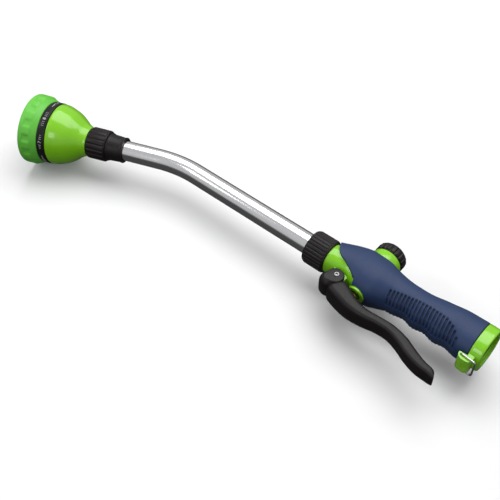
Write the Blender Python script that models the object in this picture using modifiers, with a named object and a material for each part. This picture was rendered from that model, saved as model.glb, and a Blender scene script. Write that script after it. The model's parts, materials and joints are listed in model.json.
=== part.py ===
"""Watering wand with a turning spray head, a bent tube and a squeeze-valve handle.

The wand lies on its side.  +X runs along the handle to the hose end, +Y is the
flow-knob side, -Y the trigger side and +Z the wand's own left side.  The wand is
drawn in a local frame whose X axis is the handle tube axis, starting at the front
face of the collar nut; an empty then puts that frame so that the bottom centre of
the whole wand is at the world origin.
"""

import bpy
import bmesh
from math import acos, atan2, copysign, cos, pi, radians, sin
from mathutils import Matrix, Vector

# Overall size
OVERALL_LENGTH = 0.480
HEAD_RADIUS = 0.0335
GAP = 0.0003

# Tube
TUBE_RADIUS = 0.0095
TUBE_BORE = 0.0085
TUBE_STRAIGHT = 0.134
BEND_RADIUS = 0.115
BEND_ANGLE = radians(20.75)
TUBE_HEAD_LENGTH = 0.035
TUBE_IN_FERRULE = 0.0145
TUBE_IN_COLLAR = 0.009

# Head, measured forward along the head axis from the visible end of the tube
FERRULE_END = 0.0162
NUT_END = 0.0362
BELL_END = 0.0710
BAND_END = 0.0788
BEZEL_END = 0.0968
NUT_RADIUS = 0.0150
NUT_RIBS = 18
BAND_RADIUS = 0.0296
FACE_RADIUS = 0.0285
FACE_BORE = 0.0291
BELL_BORE = 0.0262
FACE_LOBES = 14
SPRAY_SECTORS = 8
PORT_AT = (0.0176, 0.0073)

# Collar and valve, measured rearward from the collar's front face
COLLAR_LENGTH = 0.0210
COLLAR_RADIUS = 0.0154
COLLAR_RIBS = 28
VALVE_X = 0.059
BORE_Y = 0.007
INLET_Y = 0.0038
KNOB_BASE = 0.0280
KNOB_TOP = 0.0395
KNOB_RADIUS = 0.0138
KNOB_RIBS = 18
SPIGOT_RADIUS = 0.0120
THREAD_PITCH = 0.0022
CAP_START = 0.160
SLEEVE_WALL = 0.0025

# Trigger and lock bail
PIVOT_X = 0.0395
PIVOT_Y = -0.0190
PIN_RADIUS = 0.0019
LUG_HALF = 0.0064
CHEEK_HALF = 0.0110
BAIL_X = 0.1562
BAIL_Y = -0.0178
BAIL_LEG = 0.0088
BAIL_REACH = 0.0127
BOSS_HALF = 0.0076
WIRE_RADIUS = 0.0008

STEEL = ((0.62, 0.63, 0.65), 0.28, 1.0)
ALUMINIUM = ((0.86, 0.87, 0.89), 0.22, 1.0)
BRASS = ((0.72, 0.53, 0.22), 0.3, 1.0)
LIME = ((0.22, 0.62, 0.03), 0.28, 0.0)
LIME_SOFT = ((0.20, 0.56, 0.06), 0.42, 0.0)
BLACK = ((0.025, 0.024, 0.026), 0.45, 0.0)
NAVY = ((0.045, 0.070, 0.165), 0.6, 0.0)
RUBBER = ((0.02, 0.02, 0.02), 0.7, 0.0)


def head_direction():
    """Unit vector from the tube toward the spray face."""
    return Vector((-cos(BEND_ANGLE), -sin(BEND_ANGLE), 0.0))


def bend_point(angle):
    """Point on the tube axis after turning through angle."""
    x = -TUBE_STRAIGHT - BEND_RADIUS * sin(angle)
    y = -BEND_RADIUS * (1.0 - cos(angle))
    return Vector((x, y, 0.0))


def head_origin():
    """Where the tube leaves the ferrule, the zero of the head axis."""
    return bend_point(BEND_ANGLE) + head_direction() * TUBE_HEAD_LENGTH


FRONT_CENTRE = head_origin() + head_direction() * BEZEL_END
FRONT_X = FRONT_CENTRE.x - HEAD_RADIUS * sin(BEND_ANGLE)
LOW_Y = FRONT_CENTRE.y - HEAD_RADIUS * cos(BEND_ANGLE)
REAR_X = FRONT_X + OVERALL_LENGTH
FRAME_AT = (-(FRONT_X + REAR_X) / 2.0, -(LOW_Y + KNOB_TOP) / 2.0, HEAD_RADIUS)


def clear_scene():
    for item in list(bpy.data.objects):
        bpy.data.objects.remove(item, do_unlink=True)


def new_collection(name):
    made = bpy.data.collections.new(name)
    bpy.context.scene.collection.children.link(made)
    return made


clear_scene()
PARTS = new_collection("watering_wand")
CUTTERS = new_collection("cutters")
GUIDES = new_collection("frames")


def make_empty(name, location, axes, parent):
    """An empty whose local X, Y and Z point along the three given directions."""
    item = bpy.data.objects.new(name, None)
    GUIDES.objects.link(item)
    item.parent = parent
    turn = Matrix((axes[0], axes[1], axes[2])).transposed()
    item.location = location
    item.rotation_euler = turn.to_euler()
    return item


UNIT = (Vector((1, 0, 0)), Vector((0, 1, 0)), Vector((0, 0, 1)))
UP = Vector((0, 0, 1))
WAND = make_empty("wand_frame", FRAME_AT, UNIT, None)
HEAD_AXES = (UP, head_direction().cross(UP), head_direction())
HEAD = make_empty("head_axis", head_origin(), HEAD_AXES, WAND)
BODY_AXES = (UP, Vector((0, -1, 0)), Vector((1, 0, 0)))
BODY = make_empty("handle_axis", (0, 0, 0), BODY_AXES, WAND)
INLET = make_empty("inlet_axis", (0, INLET_Y, 0), BODY_AXES, WAND)
VALVE_AXES = (Vector((1, 0, 0)), Vector((0, 0, -1)), Vector((0, 1, 0)))
VALVE = make_empty("valve_axis", (VALVE_X, 0, 0), VALVE_AXES, WAND)
TRIGGER = make_empty("trigger_axis", (PIVOT_X, PIVOT_Y, 0), UNIT, WAND)
BAIL = make_empty("bail_axis", (BAIL_X, BAIL_Y, 0), UNIT, WAND)


def make_material(name, look):
    material = bpy.data.materials.new(name)
    material.use_nodes = True
    shader = material.node_tree.nodes["Principled BSDF"]
    colour, roughness, metallic = look
    shader.inputs["Base Color"].default_value = (*colour, 1.0)
    shader.inputs["Roughness"].default_value = roughness
    shader.inputs["Metallic"].default_value = metallic
    return material


def place(mesh, name, parent, look, at=(0, 0, 0)):
    """Put a mesh in the scene, as a part when it has a look, else as a cutter."""
    item = bpy.data.objects.new(name, mesh)
    item.parent = parent
    item.location = at
    if look is None:
        CUTTERS.objects.link(item)
        item.hide_render = True
        item.display_type = "WIRE"
    else:
        PARTS.objects.link(item)
        mesh.materials.append(make_material(name, look))
        mesh.shade_smooth()
        mesh.set_sharp_from_angle(angle=radians(35))
    return item


def turned(name, parent, profile, look=None, steps=24, at=(0, 0, 0)):
    """A profile of (radius, height) turned about local Z with a Screw modifier.

    The profile runs down the outer side and back up the inner one; it is closed
    when it has a bore and ends on the axis when it has none.
    """
    mesh = bpy.data.meshes.new(name)
    points = [(radius, 0.0, height) for radius, height in profile]
    edges = [(k, k + 1) for k in range(len(points) - 1)]
    if min(radius for radius, height in profile) > 0.0:
        edges.append((len(points) - 1, 0))
    mesh.from_pydata(points, edges, [])
    item = place(mesh, name, parent, look, at)
    screw = item.modifiers.new("turn", "SCREW")
    screw.axis = "Z"
    screw.angle = 2.0 * pi
    screw.steps = steps
    screw.render_steps = steps
    screw.use_merge_vertices = True
    screw.merge_threshold = 0.00001
    return item


def ring_profile(inner, outer, low, high):
    return [(outer, high), (outer, low), (inner, low), (inner, high)]


def torus(name, parent, major, minor, look, at):
    """An O-ring about local Z."""
    count = 6
    profile = []
    for k in range(count):
        angle = -2.0 * pi * k / count
        profile.append((major + minor * cos(angle), minor * sin(angle)))
    return turned(name, parent, profile, look, 22, at)


def loft(name, parent, rings, look=None, closed=False):
    """Skin a list of rings, each with the same number of points.

    A closed loft joins its last ring to its first, which makes a ring with a bore;
    an open one is capped at both ends.
    """
    frame = bmesh.new()
    rows = [[frame.verts.new(point) for point in ring] for ring in rings]
    count = len(rows[0])
    pairs = list(zip(rows, rows[1:]))
    if closed:
        pairs.append((rows[-1], rows[0]))
    for first, second in pairs:
        for k in range(count):
            after = (k + 1) % count
            frame.faces.new((first[k], first[after], second[after], second[k]))
    if not closed:
        frame.faces.new(rows[0])
        frame.faces.new(rows[-1])
    bmesh.ops.recalc_face_normals(frame, faces=frame.faces)
    if frame.calc_volume(signed=True) < 0:
        bmesh.ops.reverse_faces(frame, faces=frame.faces)
    mesh = bpy.data.meshes.new(name)
    frame.to_mesh(mesh)
    frame.free()
    return place(mesh, name, parent, look)


def ribbed_ring(radius, depth, ribs, height):
    """One ring of points about local Z with flat ribs standing depth proud."""
    points = []
    for k in range(ribs):
        for part, rise in ((-0.28, 1.0), (0.28, 1.0), (0.5, 0.0)):
            angle = 2.0 * pi * (k + part) / ribs
            r = radius - depth * (1.0 - rise)
            points.append((r * cos(angle), r * sin(angle), height))
    return points


def box(name, parent, low, high):
    """A cutter box between two corners of the parent's frame."""
    mesh = bpy.data.meshes.new(name)
    frame = bmesh.new()
    bmesh.ops.create_cube(frame, size=1.0)
    size = [b - a for a, b in zip(low, high)]
    middle = [(a + b) / 2.0 for a, b in zip(low, high)]
    bmesh.ops.scale(frame, vec=size, verts=frame.verts)
    bmesh.ops.translate(frame, vec=middle, verts=frame.verts)
    frame.to_mesh(mesh)
    frame.free()
    return place(mesh, name, parent, None)


def cylinder(name, parent, radius, start, end, sides=24):
    """A cutter cylinder between two points of the parent's frame."""
    start = Vector(start)
    end = Vector(end)
    span = end - start
    frame = bmesh.new()
    bmesh.ops.create_cone(
        frame, cap_ends=True, segments=sides,
        radius1=radius, radius2=radius, depth=span.length,
    )
    turn = span.to_track_quat("Z", "Y").to_matrix().to_4x4()
    move = Matrix.Translation((start + end) / 2.0)
    bmesh.ops.transform(frame, matrix=move @ turn, verts=frame.verts)
    mesh = bpy.data.meshes.new(name)
    frame.to_mesh(mesh)
    frame.free()
    return place(mesh, name, parent, None)


def outline(name, parent, points, half):
    """A cutter from a flat outline in local XY, half each way along Z."""
    rings = [[(x, y, z) for x, y in points] for z in (-half, half)]
    return loft(name, parent, rings)


def cut(item, cutter, operation="DIFFERENCE"):
    step = item.modifiers.new(cutter.name, "BOOLEAN")
    step.operation = operation
    step.object = cutter
    step.solver = "EXACT"


def wire(name, parent, points, radius, look, resolution=2):
    """A round bar along a POLY path, made a closed mesh."""
    curve = bpy.data.curves.new(name + "_path", "CURVE")
    curve.dimensions = "3D"
    curve.bevel_depth = radius
    curve.bevel_resolution = resolution
    curve.use_fill_caps = True
    spline = curve.splines.new("POLY")
    spline.points.add(len(points) - 1)
    for place_at, point in zip(spline.points, points):
        place_at.co = (*point, 1.0)
    path = bpy.data.objects.new(name + "_path", curve)
    GUIDES.objects.link(path)
    bpy.context.view_layer.update()
    graph = bpy.context.evaluated_depsgraph_get()
    mesh = bpy.data.meshes.new_from_object(path.evaluated_get(graph))
    bpy.data.objects.remove(path, do_unlink=True)
    frame = bmesh.new()
    frame.from_mesh(mesh)
    bmesh.ops.remove_doubles(frame, verts=frame.verts, dist=0.000001)
    bmesh.ops.recalc_face_normals(frame, faces=frame.faces)
    frame.to_mesh(mesh)
    frame.free()
    mesh.name = name
    mesh.materials.clear()
    return place(mesh, name, parent, look)


# ---------------------------------------------------------------- handle form

# Handle stations: distance along X, top, bottom and half width of the section.
HANDLE = (
    (0.0213, 0.0150, -0.0150, 0.0150),
    (0.0300, 0.0190, -0.0146, 0.0158),
    (0.0390, 0.0228, -0.0148, 0.0167),
    (0.0480, 0.0252, -0.0172, 0.0177),
    (0.0590, 0.0256, -0.0196, 0.0188),
    (0.0680, 0.0236, -0.0190, 0.0187),
    (0.0760, 0.0208, -0.0156, 0.0174),
    (0.0860, 0.0186, -0.0124, 0.0158),
    (0.0980, 0.0174, -0.0116, 0.0150),
    (0.1120, 0.0180, -0.0124, 0.0151),
    (0.1260, 0.0206, -0.0132, 0.0155),
    (0.1400, 0.0226, -0.0138, 0.0161),
    (0.1520, 0.0230, -0.0146, 0.0165),
    (0.1750, 0.0225, -0.0152, 0.0169),
)
WAVE_START = 0.080
WAVE_END = 0.1565
WAVE_PITCH = 0.0204
WAVE_CREST = 0.1095
WAVE_HEIGHT = 0.0011
SECTION_POWER = 2.25

# Grooves across both flanks of the grip, and the line where their upper ends stop
GROOVE_COUNT = 21
GROOVE_FIRST = 0.08242
GROOVE_PITCH = 0.00313
GROOVE_SLANT = 0.14
GROOVE_WIDTH = 0.0011
GROOVE_LIFT = 0.0014
GROOVE_LOW = 0.60
GROOVE_TOP = (
    (0.0780, -0.0105), (0.0835, -0.0055), (0.0940, -0.0028), (0.1070, -0.0005),
    (0.1200, 0.0002), (0.1325, -0.0009), (0.1400, -0.0039), (0.1455, -0.0082),
    (0.1490, -0.0125),
)


def handle_station(x):
    """Top, bottom and half width at x, by a smooth curve through the stations."""
    for k in range(len(HANDLE) - 1):
        if x <= HANDLE[k + 1][0]:
            break
    near = HANDLE[k]
    far = HANDLE[k + 1]
    before = HANDLE[max(k - 1, 0)]
    after = HANDLE[min(k + 2, len(HANDLE) - 1)]
    step = far[0] - near[0]
    t = (x - near[0]) / step
    values = []
    for part in (1, 2, 3):
        rise_near = (far[part] - before[part]) / (far[0] - before[0]) * step
        rise_far = (after[part] - near[part]) / (after[0] - near[0]) * step
        a = (2 * t**3 - 3 * t**2 + 1) * near[part]
        b = (t**3 - 2 * t**2 + t) * rise_near
        c = (3 * t**2 - 2 * t**3) * far[part]
        d = (t**3 - t**2) * rise_far
        values.append(a + b + c + d)
    return values


def finger_wave(x):
    """How far the finger waves push the underside down at x."""
    if x < WAVE_START or x > WAVE_END:
        return 0.0
    fade = sin(pi * (x - WAVE_START) / (WAVE_END - WAVE_START)) ** 0.5
    return WAVE_HEIGHT * fade * cos(2.0 * pi * (x - WAVE_CREST) / WAVE_PITCH)


def handle_section(x, inset, count=28, waves=True):
    """Ring of points at x, a rounded oval drawn in from the outside by inset."""
    top, bottom, half = handle_station(x)
    if waves:
        bottom -= finger_wave(x)
    middle = (top + bottom) / 2.0
    tall = (top - bottom) / 2.0 - inset
    wide = half - inset
    points = []
    for k in range(count):
        angle = 2.0 * pi * k / count
        c = cos(angle)
        s = sin(angle)
        y = middle + tall * copysign(abs(c) ** (2.0 / SECTION_POWER), c)
        z = wide * copysign(abs(s) ** (2.0 / SECTION_POWER), s)
        points.append((x, y, z))
    return points


def spaced(start, end, count):
    return [start + (end - start) * k / (count - 1) for k in range(count)]


def core_stations():
    """Where the rigid core under the sleeve has its sections."""
    return spaced(COLLAR_LENGTH + GAP, 0.078, 8) + spaced(0.090, 0.146, 4)


# ------------------------------------------------------------------- the head


def scallop_ring(radius, depth, height):
    """Ring with shallow finger scallops between full-radius lands."""
    points = []
    count = FACE_LOBES * 3
    for k in range(count):
        angle = 2.0 * pi * k / count
        dip = max(0.0, -cos(FACE_LOBES * angle))
        r = radius - depth * dip
        points.append((r * cos(angle), r * sin(angle), height))
    return points


def make_face_bezel():
    """A ring that flares from the dial band to its widest, scalloped part."""
    grip = 0.0010
    rings = [
        scallop_ring(BELL_BORE, 0.0, BAND_END + 0.0030),
        scallop_ring(BELL_BORE, 0.0, BAND_END + GAP),
        scallop_ring(0.0300, 0.0, BAND_END + GAP),
        scallop_ring(0.0315, 0.0, BAND_END + 0.0046),
        scallop_ring(0.0325, 0.0, BAND_END + 0.0062),
        scallop_ring(0.0333, grip, BAND_END + 0.0078),
        scallop_ring(HEAD_RADIUS, grip, BAND_END + 0.0097),
        scallop_ring(HEAD_RADIUS, grip, BEZEL_END - 0.0048),
        scallop_ring(HEAD_RADIUS, 0.0, BEZEL_END - 0.0042),
        scallop_ring(HEAD_RADIUS, 0.0, BEZEL_END),
        scallop_ring(0.0302, 0.0, BEZEL_END),
        scallop_ring(FACE_BORE, 0.0, BEZEL_END - 0.0030),
        scallop_ring(FACE_BORE, 0.0, BAND_END + 0.0030),
    ]
    return loft("face_bezel", HEAD, rings, LIME_SOFT, closed=True)


def make_spray_face():
    low = BAND_END + 0.0033
    high = BEZEL_END - 0.0034
    profile = [
        (0.0, high), (0.0110, high), (0.0120, high - 0.0008), (FACE_RADIUS, high - 0.0008),
        (FACE_RADIUS, low), (0.0240, low), (0.0240, high - 0.0034), (0.0080, high - 0.0034),
        (0.0080, low), (0.0, low),
    ]
    face = turned("spray_face", HEAD, profile, BLACK, 28)
    shaft = cylinder("face_screw_hole", HEAD, 0.0017, (0, 0, low - 0.01), (0, 0, high + 0.01), 20)
    cut(face, shaft)
    ring = 0.0190
    for k in range(SPRAY_SECTORS):
        angle = 2.0 * pi * (k + 0.5) / SPRAY_SECTORS
        x = ring * cos(angle)
        y = ring * sin(angle)
        reach = 0.0014 + 0.0005 * (k % 4)
        start = (x, y, high - 0.006)
        end = (x, y, high + 0.004)
        hole = cylinder("spray_hole_%d" % k, HEAD, reach, start, end, 8)
        cut(face, hole)
    return face


def make_dial_band():
    low = BELL_END + GAP
    high = BAND_END
    profile = [
        (BAND_RADIUS - 0.0004, high), (BAND_RADIUS, high - 0.0004), (BAND_RADIUS, low + 0.0004),
        (BAND_RADIUS - 0.0004, low), (BELL_BORE, low), (BELL_BORE, high),
    ]
    return turned("dial_band", HEAD, profile, BLACK, 32)


def make_face_screw():
    top = BEZEL_END - 0.0034
    profile = [
        (0.0, top + 0.0024), (0.0024, top + 0.0024), (0.0034, top + 0.0012), (0.0034, top + GAP),
        (0.0014, top + GAP), (0.0014, BELL_END - 0.0035), (0.0, BELL_END - 0.0035),
    ]
    screw = turned("face_screw", HEAD, profile, STEEL, 20)
    for turn, size in (("a", (0.0022, 0.0004)), ("b", (0.0004, 0.0022))):
        low = (-size[0], -size[1], top + 0.0014)
        high = (size[0], size[1], top + 0.0040)
        cut(screw, box("screw_cross_" + turn, HEAD, low, high))
    return screw


def bell_outline():
    """Outer (radius, height) points of the bell, from its front rim to the neck."""
    return [
        (0.0290, BELL_END), (0.0292, 0.0690), (0.0285, 0.0652), (0.0268, 0.0595),
        (0.0242, 0.0535), (0.0200, 0.0473), (0.0166, 0.0428), (0.0141, NUT_END + GAP),
    ]


def make_head_housing():
    """The bell is a hollow cup with a threaded tail inside the head nut."""
    tail = 0.0236
    profile = bell_outline() + [
        (0.0118, NUT_END + GAP), (0.0118, tail), (0.0088, tail), (0.0088, 0.0440),
        (0.0180, 0.0512), (0.0232, 0.0580), (0.0258, 0.0680), (0.0258, BELL_END),
    ]
    return turned("head_housing", HEAD, profile, LIME, 32)


def make_selector_plate():
    """The fixed disc behind the spray face: one port, a centre post for the screw."""
    low = 0.0655
    high = BELL_END + 0.0060
    profile = [
        (0.0070, high), (0.0070, BELL_END + 0.0020), (0.0254, BELL_END + 0.0020),
        (0.0254, 0.0690), (0.0236, low), (0.0020, low), (0.0020, high),
    ]
    plate = turned("selector_plate", HEAD, profile, BLACK, 32)
    start = (*PORT_AT, 0.060)
    end = (*PORT_AT, 0.090)
    cut(plate, cylinder("selector_port", HEAD, 0.0036, start, end, 20))
    return plate


def make_selector_seal():
    """The rubber sleeve in the port that wipes the back of the spray face."""
    low = BELL_END + 0.0023
    profile = ring_profile(0.0022, 0.0045, low, BEZEL_END - 0.0071)
    return turned("selector_seal", HEAD, profile, RUBBER, 20, (*PORT_AT, 0.0))


def nut_rings(radius, depth, ribs, low, high, edge):
    """Rings of a ribbed nut whose ribs die out at both rims."""
    plain = radius - depth
    return [
        ribbed_ring(plain - edge, 0.0, ribs, low),
        ribbed_ring(plain, 0.0, ribs, low + edge),
        ribbed_ring(radius, depth, ribs, low + 2.2 * edge),
        ribbed_ring(radius, depth, ribs, high - 2.2 * edge),
        ribbed_ring(plain, 0.0, ribs, high - edge),
        ribbed_ring(plain - edge, 0.0, ribs, high),
    ]


def make_head_nut():
    rings = nut_rings(NUT_RADIUS, 0.0007, NUT_RIBS, FERRULE_END + GAP, NUT_END, 0.0005)
    nut = loft("head_nut", HEAD, rings, BLACK)
    cut(nut, cylinder("head_nut_bore", HEAD, 0.0122, (0, 0, 0.0183), (0, 0, 0.0400), 28))
    cut(nut, cylinder("head_nut_mouth", HEAD, 0.0112, (0, 0, 0.0150), (0, 0, 0.0200), 28))
    return nut


def make_tube_ferrule():
    """A tapered sleeve glued to the tube, with a shoulder trapped by the head nut."""
    end = FERRULE_END
    profile = [
        (0.0118, 0.0215), (0.0118, 0.0187), (0.0108, 0.0187), (0.0108, end), (0.0131, end),
        (0.0131, end - 0.0016), (0.0126, end - 0.0020), (0.0118, 0.0014), (0.0114, 0.0),
        (0.0099, 0.0), (0.0099, 0.0150), (0.0091, 0.0150), (0.0091, 0.0215),
    ]
    return turned("tube_ferrule", HEAD, profile, BLACK, 28)


# ------------------------------------------------------------- tube and collar


def tube_path(front, rear):
    """Points on the tube axis from the head end to the collar end."""
    points = [head_origin() + head_direction() * front]
    bends = 7
    for k in range(bends):
        points.append(bend_point(BEND_ANGLE * (1.0 - k / (bends - 1))))
    points.append(Vector((rear, 0.0, 0.0)))
    return points


def make_wand_tube():
    path = tube_path(TUBE_IN_FERRULE, TUBE_IN_COLLAR)
    tube = wire("wand_tube", WAND, path, TUBE_RADIUS, ALUMINIUM, 8)
    longer = tube_path(TUBE_IN_FERRULE + 0.01, TUBE_IN_COLLAR + 0.01)
    cut(tube, wire("tube_bore", WAND, longer, TUBE_BORE, None, 8))
    return tube


def make_tube_flange():
    """The ring fixed to the rear end of the tube, trapped by the collar nut."""
    profile = [
        (0.0122, 0.0092), (0.0122, 0.0042), (0.0099, 0.0042), (0.0099, 0.0092),
    ]
    return turned("tube_flange", BODY, profile, BLACK, 28)


def make_collar_nut():
    rings = nut_rings(COLLAR_RADIUS, 0.0006, COLLAR_RIBS, 0.0, COLLAR_LENGTH, 0.0006)
    nut = loft("collar_nut", BODY, rings, BLACK)
    cut(nut, cylinder("collar_bore", BODY, 0.0127, (0, 0, 0.0038), (0, 0, 0.0300), 28))
    cut(nut, cylinder("collar_mouth", BODY, 0.0101, (0, 0, -0.01), (0, 0, 0.0100), 28))
    return nut


# --------------------------------------------------------------- valve handle


def lug_outline():
    """Side view of the trigger lug: a tongue rounded about the pivot."""
    radius = 0.0062
    points = [(PIVOT_X + 0.0075, -0.0080), (PIVOT_X - 0.0085, -0.0080)]
    for k in range(9):
        angle = pi + pi * k / 8.0
        points.append((PIVOT_X + radius * cos(angle), PIVOT_Y + radius * sin(angle)))
    return points


def make_valve_body():
    stations = core_stations() + [CAP_START - 0.0015]
    rings = [handle_section(x, SLEEVE_WALL, 20, False) for x in stations]
    body = loft("valve_body", WAND, rings, LIME)
    spigot = cylinder("valve_spigot", BODY, SPIGOT_RADIUS, (0, 0, 0.0105), (0, 0, 0.0260), 24)
    cut(body, spigot, "UNION")
    boss = turned("knob_boss", VALVE, [
        (0.0, 0.0276), (0.0128, 0.0276), (0.0137, 0.0266), (0.0141, 0.0170), (0.0, 0.0170),
    ], None, 32)
    cut(body, boss, "UNION")
    cut(body, outline("trigger_lug", WAND, lug_outline(), LUG_HALF), "UNION")
    seat = cylinder("gland_boss", VALVE, 0.0084, (0, 0, -0.0172), (0, 0, -0.0100), 24)
    cut(body, seat, "UNION")
    cut(body, cylinder("lug_hole", TRIGGER, PIN_RADIUS + GAP, (0, 0, -0.02), (0, 0, 0.02), 24))
    cut(body, cylinder("outlet_bore", BODY, 0.0060, (0, 0, 0.0), (0, 0, 0.0480), 20))
    low_start = (0.044, -0.0070, 0)
    low_end = (VALVE_X, -0.0070, 0)
    cut(body, cylinder("outlet_port", WAND, 0.0038, low_start, low_end, 20))
    cut(body, cylinder("lower_chamber", VALVE, 0.0073, (0, 0, -0.030), (0, 0, -0.0020), 24))
    cut(body, cylinder("seat_hole", VALVE, 0.0045, (0, 0, -0.003), (0, 0, 0.002), 20))
    cut(body, cylinder("upper_chamber", VALVE, 0.0088, (0, 0, 0.0), (0, 0, 0.0220), 28))
    cut(body, cylinder("bonnet_bore", VALVE, 0.0112, (0, 0, 0.0196), (0, 0, 0.0300), 28))
    feed = cylinder("feed_bore", WAND, 0.0058, (VALVE_X, BORE_Y, 0), (0.158, BORE_Y, 0), 20)
    cut(body, feed)
    cut(body, cylinder("inlet_bore", INLET, 0.0100, (0, 0, 0.149), (0, 0, 0.165), 24))
    return body


def blue_edge():
    """Side view of what the sleeve leaves bare at the front, as a cutter outline."""
    return [
        (0.0, 0.0140), (0.0216, 0.0140), (0.0236, 0.0080), (0.0262, 0.0025),
        (0.0310, -0.0020), (0.0380, -0.0052), (0.0450, -0.0088), (0.0500, -0.0122),
        (0.0530, -0.0160), (0.0536, -0.0400), (0.0, -0.0400),
    ]


def groove_top(x):
    """Height of a groove's upper end at x."""
    for near, far in zip(GROOVE_TOP, GROOVE_TOP[1:]):
        if x <= far[0]:
            break
    t = (x - near[0]) / (far[0] - near[0])
    return near[1] + (far[1] - near[1]) * t


def flank_z(x, y):
    """Half width of the sleeve at x, at height y."""
    top, bottom, half = handle_station(x)
    bottom -= finger_wave(x)
    rise = abs(y - (top + bottom) / 2.0) / ((top - bottom) / 2.0)
    return half * max(0.0, 1.0 - rise**SECTION_POWER) ** (1.0 / SECTION_POWER)


def make_groove_tool():
    """Thin blocks that lie on a chord of both flanks, one for each groove."""
    frame = bmesh.new()
    for k in range(GROOVE_COUNT):
        x = GROOVE_FIRST + GROOVE_PITCH * k
        top, bottom, half = handle_station(x)
        low_y = GROOVE_LOW * (bottom - finger_wave(x)) + (1.0 - GROOVE_LOW) * (top + bottom) / 2.0
        high_y = groove_top(x)
        for side in (1.0, -1.0):
            low = Vector((x - GROOVE_SLANT * low_y, low_y, side * flank_z(x, low_y)))
            high = Vector((x - GROOVE_SLANT * high_y, high_y, side * flank_z(x, high_y)))
            along = high - low
            out = Vector((0.0, -along.z, along.y)).normalized()
            if out.z * side < 0.0:
                out = -out
            across = out.cross(along.normalized())
            turn = Matrix((along.normalized(), across, out)).transposed().to_4x4()
            middle = (low + high) / 2.0 + out * GROOVE_LIFT
            size = Matrix.Diagonal((along.length, GROOVE_WIDTH, 0.0040, 1.0))
            bmesh.ops.create_cube(frame, size=1.0, matrix=Matrix.Translation(middle) @ turn @ size)
    mesh = bpy.data.meshes.new("grip_grooves")
    frame.to_mesh(mesh)
    frame.free()
    return place(mesh, "grip_grooves", WAND, None)


def make_grip_sleeve():
    stations = spaced(COLLAR_LENGTH + GAP, 0.078, 10) + spaced(0.0825, CAP_START - GAP, 17)
    rings = [handle_section(x, 0.0, 20) for x in stations]
    sleeve = loft("grip_sleeve", WAND, rings, NAVY)
    inner = core_stations() + [CAP_START + 0.004]
    core_rings = [handle_section(x, SLEEVE_WALL - GAP, 20, False) for x in inner]
    first = [(x - 0.004, y, z) for x, y, z in core_rings[0]]
    cut(sleeve, loft("sleeve_core", WAND, [first] + core_rings))
    cut(sleeve, outline("sleeve_front", WAND, blue_edge(), 0.03))
    cut(sleeve, cylinder("sleeve_top_hole", VALVE, 0.0145, (0, 0, 0.010), (0, 0, 0.040), 32))
    cut(sleeve, cylinder("sleeve_gland_hole", VALVE, 0.0088, (0, 0, -0.030), (0, 0, -0.008), 28))
    cut(sleeve, make_groove_tool())
    return sleeve


def make_stem_gland():
    profile = [
        (0.0068, -0.0110), (0.0068, -0.0175), (0.0082, -0.0175), (0.0082, -0.0189),
        (0.0075, -0.0197), (0.0046, -0.0197), (0.0046, -0.0180), (0.0028, -0.0174),
        (0.0028, -0.0135), (0.0046, -0.0135), (0.0046, -0.0110),
    ]
    return turned("stem_gland", VALVE, profile, LIME, 24)


def make_valve_stem():
    profile = [
        (0.0, 0.0056), (0.0016, 0.0056), (0.0016, 0.0028), (0.0036, 0.0028), (0.0036, 0.0021),
        (0.0016, 0.0021), (0.0016, -0.0010), (0.0024, -0.0020), (0.0024, -0.0255),
        (0.0012, -0.0267), (0.0, -0.0267),
    ]
    return turned("valve_stem", VALVE, profile, BRASS, 20)


def make_valve_seal():
    profile = ring_profile(0.0019, 0.0064, 0.0003, 0.0018)
    return turned("valve_seal", VALVE, profile, RUBBER, 24)


def make_valve_spring():
    """A compression coil between the seal's disc and the roof of the spindle cup."""
    turns = 5
    per_turn = 10
    low = 0.0026
    high = 0.0155
    points = []
    for k in range(turns * per_turn + 1):
        angle = 2.0 * pi * k / per_turn
        height = low + (high - low) * k / (turns * per_turn)
        points.append((0.0048 * cos(angle), 0.0048 * sin(angle), height))
    return wire("valve_spring", VALVE, points, 0.00045, STEEL, 1)


def make_valve_bonnet():
    """The threaded plug in the boss that the spindle turns in."""
    profile = [
        (0.0109, 0.0276), (0.0109, 0.0199), (0.0043, 0.0199), (0.0043, 0.0225), (0.0062, 0.0225),
        (0.0062, 0.0246), (0.0043, 0.0246), (0.0043, 0.0276),
    ]
    return turned("valve_bonnet", VALVE, profile, LIME, 24)


def make_flow_spindle():
    """Shaft with a hollow cup below it; a window in the cup throttles the feed."""
    profile = [
        (0.0040, 0.0312), (0.0040, 0.0193), (0.0084, 0.0193), (0.0084, 0.0030),
        (0.0070, 0.0030), (0.0070, 0.0162), (0.0, 0.0162),
    ]
    spindle = turned("flow_spindle", VALVE, [(0.0, 0.0312)] + profile, BRASS, 28)
    window = ((0.004, 0, 0.0088), (0.014, 0, 0.0088))
    cut(spindle, cylinder("spindle_window", VALVE, 0.0048, *window, 20))
    cut(spindle, cylinder("spindle_bore", VALVE, 0.0016, (0, 0, 0.0220), (0, 0, 0.0330), 20))
    cut(spindle, box("spindle_flat", VALVE, (0.0030, -0.006, 0.0284), (0.0060, 0.006, 0.0330)))
    return spindle


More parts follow.
